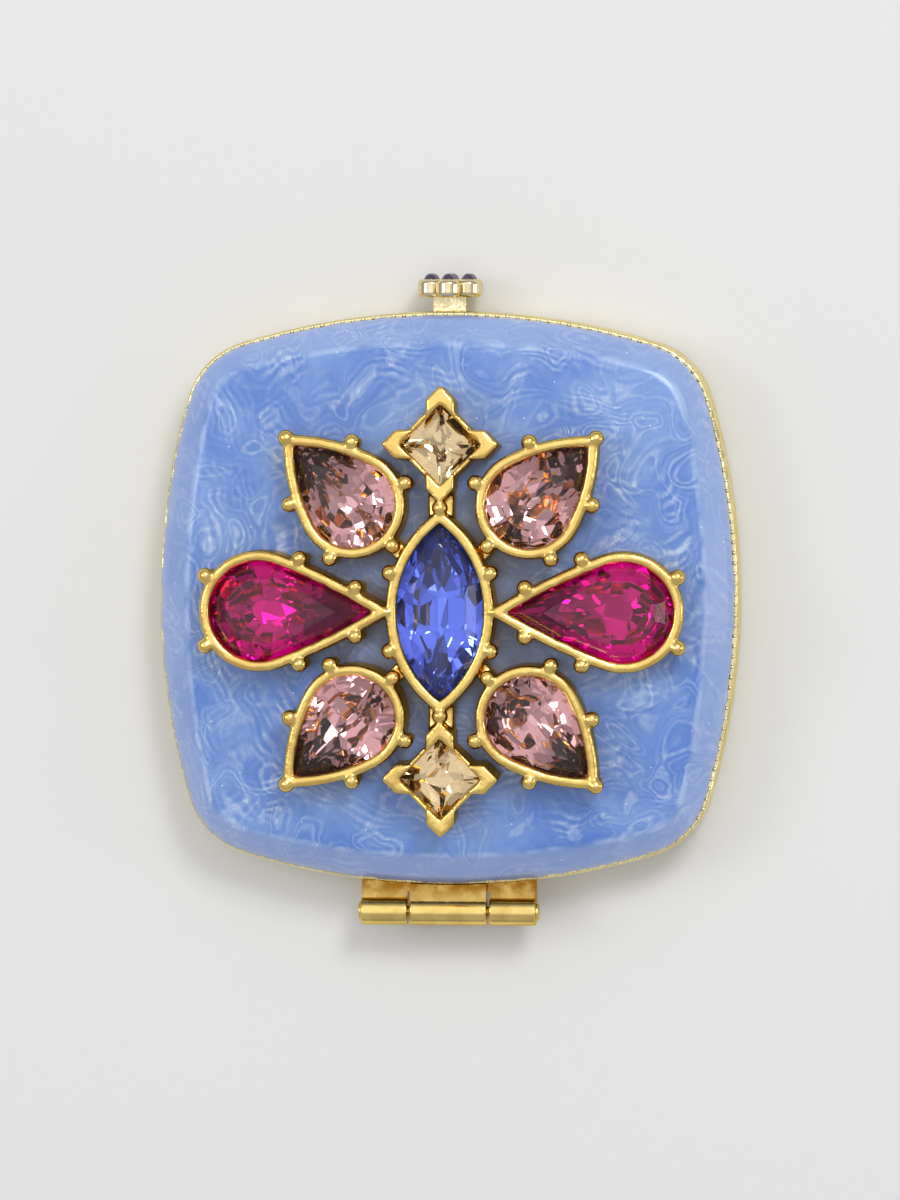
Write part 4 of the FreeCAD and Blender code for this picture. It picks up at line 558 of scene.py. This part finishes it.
def taken_mesh(rough):
    """Finished smooth mesh of a scratch object, which is removed."""
    graph = bpy.context.evaluated_depsgraph_get()
    mesh = bpy.data.meshes.new_from_object(rough.evaluated_get(graph))
    bpy.data.objects.remove(rough)
    mesh.polygons.foreach_set("use_smooth", [True] * len(mesh.polygons))
    return mesh


class COMPACT_OT_enamel(bpy.types.Operator):
    """Pour the lid's swirled pearl enamel, with a foot that laps unevenly over the gold lip"""
    bl_idname = "compact.enamel"
    bl_label = "Pour enamel"

    def execute(self, context):
        sizes = context.scene.compact_sizes
        enamel = pearl_enamel(context.scene.compact_colours)
        mesh = taken_mesh(softened("enamel_rough", "lid_enamel", sizes.enamel_grain, enamel))
        self.lap(mesh, sizes)
        self.paint_collet_shade(mesh)
        piece = new_piece("enamel_pour", mesh, enamel)
        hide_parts("lid_enamel")
        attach(piece, "lid")
        return {"FINISHED"}

    def lap(self, mesh, sizes):
        """Run the enamel's foot out over the lip, most on the side that it flowed to."""
        least, uneven, most = 0.18, 0.35, 0.9
        ripple = 1.1 * MM
        flowed_to = Vector((0.8, 0.6, 0.0))
        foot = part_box("lid_enamel")[0].z
        outward = [vertex.normal.copy() for vertex in mesh.vertices]
        for vertex, normal in zip(mesh.vertices, outward):
            share = 1.0 - (vertex.co.z - foot) / sizes.enamel_foot
            side = Vector((normal.x, normal.y, 0.0))
            if share > 0.0 and side.dot(vertex.co) > 0.0:
                flow = uneven * noise.noise(vertex.co / ripple)
                run = least + flow + most * max(0.0, side.dot(flowed_to))
                vertex.co += side * (sizes.enamel_lap * min(run, 1.0) * min(share, 1.0))

    def paint_collet_shade(self, mesh):
        """Mark how far each point of the enamel is boxed in by the collets round the middle stone: where it
        is, the enamel gets painted shade.
        """
        metal_reach, core, fade = 2.6 * MM, 9.0 * MM, 6.0 * MM
        casting = copied_mesh("jewel_setting")
        metal = kdtree.KDTree(len(casting.vertices))
        for index, vertex in enumerate(casting.vertices):
            metal.insert(vertex.co, index)
        metal.balance()
        low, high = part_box("stone_navette")
        middle = (low + high) / 2
        marks = []
        for vertex in mesh.vertices:
            gap = metal.find(vertex.co)[2] / metal_reach
            away = ((vertex.co - middle).length - core) / fade
            marks.append(max(0.0, 1.0 - gap) * max(0.0, min(1.0, 1.0 - away)))
        mesh.attributes.new("painted_collet_shade", "FLOAT", "POINT").data.foreach_set("value", marks)
        bpy.data.meshes.remove(casting)


def corner_block(*stones):
    """Scratch object that fills the space over square stones, to just past their own corners."""
    past, height = 1.03, 3.0 * MM
    turned = [Vector(way) for way in ((1, 0, 0), (0, 1, 0), (-1, 0, 0), (0, -1, 0))]
    shape = bmesh.new()
    for node in stones:
        places = [vertex.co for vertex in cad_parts[node].data.vertices]
        ring = [max(places, key=way.dot) for way in turned]
        middle = sum(ring, Vector()) / len(ring)
        up = (ring[0] - ring[2]).cross(ring[1] - ring[3]).normalized()
        wide = [middle + (corner - middle) * past for corner in ring]
        low = [shape.verts.new(corner) for corner in wide]
        high = [shape.verts.new(corner + up * height) for corner in wide]
        shape.faces.new(reversed(low))
        shape.faces.new(high)
        for side in range(len(ring)):
            after = (side + 1) % len(ring)
            shape.faces.new((low[side], low[after], high[after], high[side]))
    mesh = bpy.data.meshes.new("corner_block")
    shape.to_mesh(mesh)
    shape.free()
    block = bpy.data.objects.new("corner_block", mesh)
    bpy.context.scene.collection.objects.link(block)
    return block


class COMPACT_OT_setting(bpy.types.Operator):
    """Soften the jewel setting into a hand-finished casting, its claws cut back to the stones' corners"""
    bl_idname = "compact.setting"
    bl_label = "Cast setting"

    def execute(self, context):
        sizes, colours = context.scene.compact_sizes, context.scene.compact_colours
        # The casting's upright sides get painted shade, by a share of 0.6, and its hollows too.
        gold = cast_gold("cast_yellow_gold", colours.gold, colours.gold_shade, roughness=0.2, wobble=0.3,
                         painted_wall_shade=0.6)
        rough = softened("setting_rough", "jewel_setting", sizes.casting_grain, gold)
        block = corner_block("stone_square_back", "stone_square_front")
        opened = rough.modifiers.new("opened", "BOOLEAN")
        opened.object = block
        opened.operation = "DIFFERENCE"
        opened.solver = "EXACT"
        rough.modifiers.move(len(rough.modifiers) - 1, 0)
        ripple = bpy.data.textures.new("casting_ripple", "CLOUDS")
        ripple.noise_scale = sizes.casting_ripple
        uneven = rough.modifiers.new("uneven", "DISPLACE")
        uneven.texture = ripple
        uneven.strength = sizes.casting_wobble
        fuller = rough.modifiers.new("fuller", "DISPLACE")
        fuller.strength = sizes.casting_skin
        fuller.mid_level = 0.0
        lighter = rough.modifiers.new("lighter", "DECIMATE")
        lighter.ratio = 0.4
        smooth = taken_mesh(rough)
        bpy.data.objects.remove(block)
        casting = new_piece("setting_casting", smooth, gold)
        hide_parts("jewel_setting")
        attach(casting, "lid")
        return {"FINISHED"}


class COMPACT_OT_stones(bpy.types.Operator):
    """Turn the stones to foiled cut glass"""
    bl_idname = "compact.stones"
    bl_label = "Set stones"

    def execute(self, context):
        colours = context.scene.compact_colours
        blue = foiled_glass("blue_foiled_glass", colours.stone_blue, colours.foil_blue, facet=3.4,
                            shine=0.88)
        pink = foiled_glass("pink_foiled_glass", colours.stone_pink, colours.foil_pink, facet=2.3)
        red = foiled_glass("red_foiled_glass", colours.stone_red, colours.foil_red, facet=2.2, steep=1.1,
                           shine=0.86)
        straw = foiled_glass("straw_foiled_glass", colours.stone_straw, colours.foil_straw, facet=1.9)
        dress(blue, "stone_navette")
        dress(pink, "stone_pear_back_left", "stone_pear_back_right", "stone_pear_front_left",
              "stone_pear_front_right")
        dress(red, "stone_drop_left", "stone_drop_right")
        dress(straw, "stone_square_back", "stone_square_front")
        return {"FINISHED"}


class COMPACT_OT_case(bpy.types.Operator):
    """Plate the case, its hinge, its inner frames and the fixed parts of its catch"""
    bl_idname = "compact.case"
    bl_label = "Plate case"

    def execute(self, context):
        colours = context.scene.compact_colours
        pale, shade = colours.gold_pale, colours.gold_pale_shade
        satin = cast_gold("satin_case_gold", pale, shade, roughness=0.24, wobble=0.1)
        hinge = hinge_gold(colours.gold_hinge, colours.hinge_painted_shade)
        sheet = brushed_gold("brushed_frame_gold", pale, shade)
        dress(satin, "base_shell", "lid_shell")
        dress(hinge, "hinge_base_leaf", "hinge_lid_leaf", "hinge_pin")
        dress(sheet, "base_frame", "lid_frame", "lid_hook", "catch_guide_left", "catch_guide_right",
              "spring_seat")
        return {"FINISHED"}


def cushion_path(side_r, corner_r, inset):
    """Points round the case outline, drawn in by an inset: four bowed sides and four corners. Each
    corner's arc runs into the arcs of both its sides, so its middle lies a set reach from theirs."""
    steps = 24
    low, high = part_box("lid_shell")
    half_w, half_d = high.x, -low.y
    across, along = side_r - half_w, side_r - half_d
    reach = side_r - corner_r
    lean = along / across
    shift = (along ** 2 - across ** 2) / (2 * across) + across
    square = 1 + lean ** 2
    root = math.sqrt((lean * shift) ** 2 - square * (shift ** 2 - reach ** 2))
    corner_y = (root - lean * shift) / square
    corner_x = shift - across + lean * corner_y
    low_turn = math.atan2(corner_y, corner_x + across)
    high_turn = math.atan2(corner_y + along, corner_x)
    quarter = (
        (-across, 0.0, side_r, 0.0, low_turn),
        (corner_x, corner_y, corner_r, low_turn, high_turn),
        (0.0, -along, side_r, high_turn, math.pi / 2),
    )
    points = []
    for middle_x, middle_y, radius, start, end in quarter:
        for step in range(steps):
            turn = start + (end - start) * step / steps
            points.append(Vector((middle_x + (radius - inset) * math.cos(turn),
                                  middle_y + (radius - inset) * math.sin(turn), 0.0)))
    back = [Vector((-point.x, point.y, 0.0)) for point in reversed(points[1:])]
    top = [*points, Vector((0.0, points[-1].y, 0.0)), *back]
    return [*top, *(Vector((-point.x, -point.y, 0.0)) for point in top)]


def bead_tree():
    """Geometry nodes that set beads along a path, each a little larger or smaller than the next."""
    smallest, seed = 0.78, 5
    tree = bpy.data.node_groups.new("milled_edge", "GeometryNodeTree")
    tree.interface.new_socket("Path", in_out="INPUT", socket_type="NodeSocketGeometry")
    for name in ("Pitch", "Radius"):
        tree.interface.new_socket(name, in_out="INPUT", socket_type="NodeSocketFloat")
    tree.interface.new_socket("Metal", in_out="INPUT", socket_type="NodeSocketMaterial")
    tree.interface.new_socket("Beads", in_out="OUTPUT", socket_type="NodeSocketGeometry")
    given = add(tree, "NodeGroupInput").outputs
    path = add(tree, "GeometryNodeMeshToCurve", {"Mesh": given["Path"]})
    spaced = add(tree, "GeometryNodeResampleCurve", {"Curve": path, "Length": given["Pitch"]}, mode="LENGTH")
    ball = add(tree, "GeometryNodeMeshIcoSphere", {"Radius": given["Radius"], "Subdivisions": 2})
    vary = add(tree, "FunctionNodeRandomValue", {"Min": smallest, "Max": 1.0, "Seed": seed},
               data_type="FLOAT")
    beads = add(tree, "GeometryNodeInstanceOnPoints", {"Points": spaced, "Instance": ball, "Scale": vary})
    real = add(tree, "GeometryNodeRealizeInstances", {"Geometry": beads})
    smooth = add(tree, "GeometryNodeSetShadeSmooth", {"Geometry": real})
    metal = add(tree, "GeometryNodeSetMaterial", {"Geometry": smooth, "Material": given["Metal"]})
    add(tree, "NodeGroupOutput", {"Beads": metal})
    return tree


class COMPACT_OT_edge(bpy.types.Operator):
    """Run a milled row of beads round the lid's lip"""
    bl_idname = "compact.edge"
    bl_label = "Mill edge"

    def execute(self, context):
        sizes, colours = context.scene.compact_sizes, context.scene.compact_colours
        gold = cast_gold("milled_edge_gold", colours.gold_pale, colours.gold_pale_shade, roughness=0.32,
                         wobble=0.1)
        points = cushion_path(sizes.side_radius, sizes.corner_radius, sizes.bead_inset)
        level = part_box("lid_enamel")[0].z - sizes.bead_drop
        mesh = bpy.data.meshes.new("edge_path")
        mesh.from_pydata([(point.x, point.y, level) for point in points],
                         [(index, (index + 1) % len(points)) for index in range(len(points))], [])
        path = new_piece("edge_path", mesh, gold)
        tree = bead_tree()
        nodes = path.modifiers.new("beads", "NODES")
        nodes.node_group = tree
        given = {"Pitch": sizes.bead_pitch, "Radius": sizes.bead_radius, "Metal": gold}
        for socket in tree.interface.items_tree:
            if socket.name in given:
                nodes[socket.identifier] = given[socket.name]
        piece = new_piece("lip_beads", taken_mesh(path), gold)
        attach(piece, "lid")
        return {"FINISHED"}


class COMPACT_OT_mirrors(bpy.types.Operator):
    """Silver the mirrors and finish the pads that bed them"""
    bl_idname = "compact.mirrors"
    bl_label = "Silver mirrors"

    def execute(self, context):
        dress(silvered_glass(), "base_mirror", "lid_mirror")
        dress(foam_board(), "base_mirror_pad", "lid_mirror_pad")
        return {"FINISHED"}


class COMPACT_OT_spring(bpy.types.Operator):
    """Fit the button's return spring, in drawn steel, on the base"""
    bl_idname = "compact.spring"
    bl_label = "Fit spring"

    def execute(self, context):
        piece = new_piece("return_spring", copied_mesh("catch_spring"), drawn_steel())
        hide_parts("catch_spring")
        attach(piece, "base")
        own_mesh(piece)
        return {"FINISHED"}


class COMPACT_OT_button(bpy.types.Operator):
    """Finish the push button, its stem and its beads"""
    bl_idname = "compact.button"
    bl_label = "Finish button"

    def execute(self, context):
        colours = context.scene.compact_colours
        pale, shade = colours.gold_button, colours.gold_pale_shade
        polished = cast_gold("polished_button_gold", pale, shade, roughness=0.1, wobble=0.05)
        grained = cast_gold("grained_stem_gold", pale, shade, roughness=0.2, wobble=1.0, grain=0.4)
        dress(polished, "button_head")
        dress(grained, "catch_slide")
        dress(polished_glass("dark_bead_glass", colours.bead, colours.bead_light), "button_beads")
        return {"FINISHED"}


class COMPACT_OT_stage(bpy.types.Operator):
    """Make the floor, the light and the camera"""
    bl_idname = "compact.stage"
    bl_label = "Set stage"

    def execute(self, context):
        scene = context.scene
        scene.view_settings.view_transform = "Standard"
        self.floor(scene.compact_colours.floor)
        self.sky(scene)
        self.lamps(scene)
        self.camera(scene, scene.compact_sizes)
        return {"FINISHED"}

    def floor(self, tone):
        """Plain pale floor that takes the shadow."""
        half = 1.5
        corners = [(-half, -half, 0), (half, -half, 0), (half, half, 0), (-half, half, 0)]
        mesh = bpy.data.meshes.new("floor")
        mesh.from_pydata(corners, [], [(0, 1, 2, 3)])
        material, tree, shader = start_material("studio_floor")
        plug(tree, shader, {"Base Color": tone, "Roughness": 0.9})
        new_piece("floor", mesh, material)

    def sky(self, scene):
        """Even studio light, dimmer near the floor, with a soft round glow nearly overhead."""
        white = (1.0, 1.0, 1.0, 1.0)
        overhead = Vector((0.0, -0.3, 0.95)).normalized()
        world = bpy.data.worlds.new("studio")
        scene.world = world
        world.use_nodes = True
        tree = world.node_tree
        place = add(tree, "ShaderNodeTexCoord").outputs["Generated"]
        up = add(tree, "ShaderNodeSeparateXYZ", {0: place}).outputs["Z"]
        low = add(tree, "ShaderNodeMapRange", {"Value": up, "From Max": 0.5, "To Min": 0.32,
                                               "To Max": 0.5}, **SOFT_ENDS)
        near = add(tree, "ShaderNodeVectorMath", {0: place, 1: overhead}, operation="DOT_PRODUCT")
        glow = add(tree, "ShaderNodeMapRange", {"Value": near, "From Min": 0.72, "From Max": 0.97,
                                                "To Max": 0.64}, **SOFT_ENDS)
        level = add(tree, "ShaderNodeMath", {0: glow, 1: low}, operation="ADD")
        plug(tree, tree.nodes["Background"], {"Color": white, "Strength": level})

    def lamps(self, scene):
        """Softboxes that face the case, each with its place and size in metres and its watts."""
        softboxes = (
            ("key", (-0.22, -0.34, 0.6), (0.2, 0.2), 1.5),
            ("fill", (0.45, -0.1, 0.5), (0.25, 0.25), 0.7),
            ("edge", (-0.6, 0.0, 0.17), (0.11, 0.5), 0.38),
        )
        for name, place, size, power in softboxes:
            lamp = bpy.data.lights.new(name, "AREA")
            lamp.shape = "RECTANGLE"
            lamp.size, lamp.size_y = size
            lamp.energy = power
            item = bpy.data.objects.new(name, lamp)
            item.location = place
            item.rotation_euler = Vector(place).to_track_quat("Z", "Y").to_euler()
            scene.collection.objects.link(item)

    def camera(self, scene, sizes):
        """Camera almost straight above, with the button at the top of the picture."""
        aim = Vector((-0.22, 0.17, 7.0)) * MM
        picture_up = Vector((0.0, -1.0, 0.0))
        camera = bpy.data.cameras.new("camera")
        camera.sensor_fit = "VERTICAL"
        camera.sensor_height = 36.0
        camera.lens = camera.sensor_height * sizes.view_distance / sizes.view_height
        camera.clip_end = 10.0
        view = bpy.data.objects.new("camera", camera)
        scene.collection.objects.link(view)
        back = Vector((-math.sin(sizes.view_aside), -math.sin(sizes.view_before), 1.0)).normalized()
        up = (picture_up - back * picture_up.dot(back)).normalized()
        turn = Matrix((up.cross(back), up, back)).transposed().to_4x4()
        view.matrix_world = Matrix.Translation(aim + back * sizes.view_distance) @ turn
        scene.camera = view


class COMPACT_PT_sidebar(bpy.types.Panel):
    """Lists the steps that dress the compact"""
    bl_idname = "COMPACT_PT_sidebar"
    bl_label = "Compact mirror"
    bl_space_type = "VIEW_3D"
    bl_region_type = "UI"
    bl_category = "Compact"

    def draw(self, context):
        """One button for each step."""
        for step in STEPS:
            self.layout.operator(step.bl_idname)


STEPS = (COMPACT_OT_enamel, COMPACT_OT_setting, COMPACT_OT_stones, COMPACT_OT_case, COMPACT_OT_edge,
         COMPACT_OT_mirrors, COMPACT_OT_spring, COMPACT_OT_button, COMPACT_OT_stage)
CLASSES = (CompactSizes, CompactColours, *STEPS, COMPACT_PT_sidebar)


def register():
    """Register the classes and give the scene its sizes and colours."""
    for item in CLASSES:
        bpy.utils.register_class(item)
    bpy.types.Scene.compact_sizes = bpy.props.PointerProperty(type=CompactSizes)
    bpy.types.Scene.compact_colours = bpy.props.PointerProperty(type=CompactColours)


def unregister():
    """Take the sizes, the colours and the classes away again."""
    del bpy.types.Scene.compact_colours
    del bpy.types.Scene.compact_sizes
    for item in reversed(CLASSES):
        bpy.utils.unregister_class(item)


def main():
    """Dress the compact step by step."""
    register()
    bpy.ops.compact.enamel()
    bpy.ops.compact.setting()
    bpy.ops.compact.stones()
    bpy.ops.compact.case()
    bpy.ops.compact.edge()
    bpy.ops.compact.mirrors()
    bpy.ops.compact.spring()
    bpy.ops.compact.button()
    bpy.ops.compact.stage()


if __name__ == "__main__":
    main()
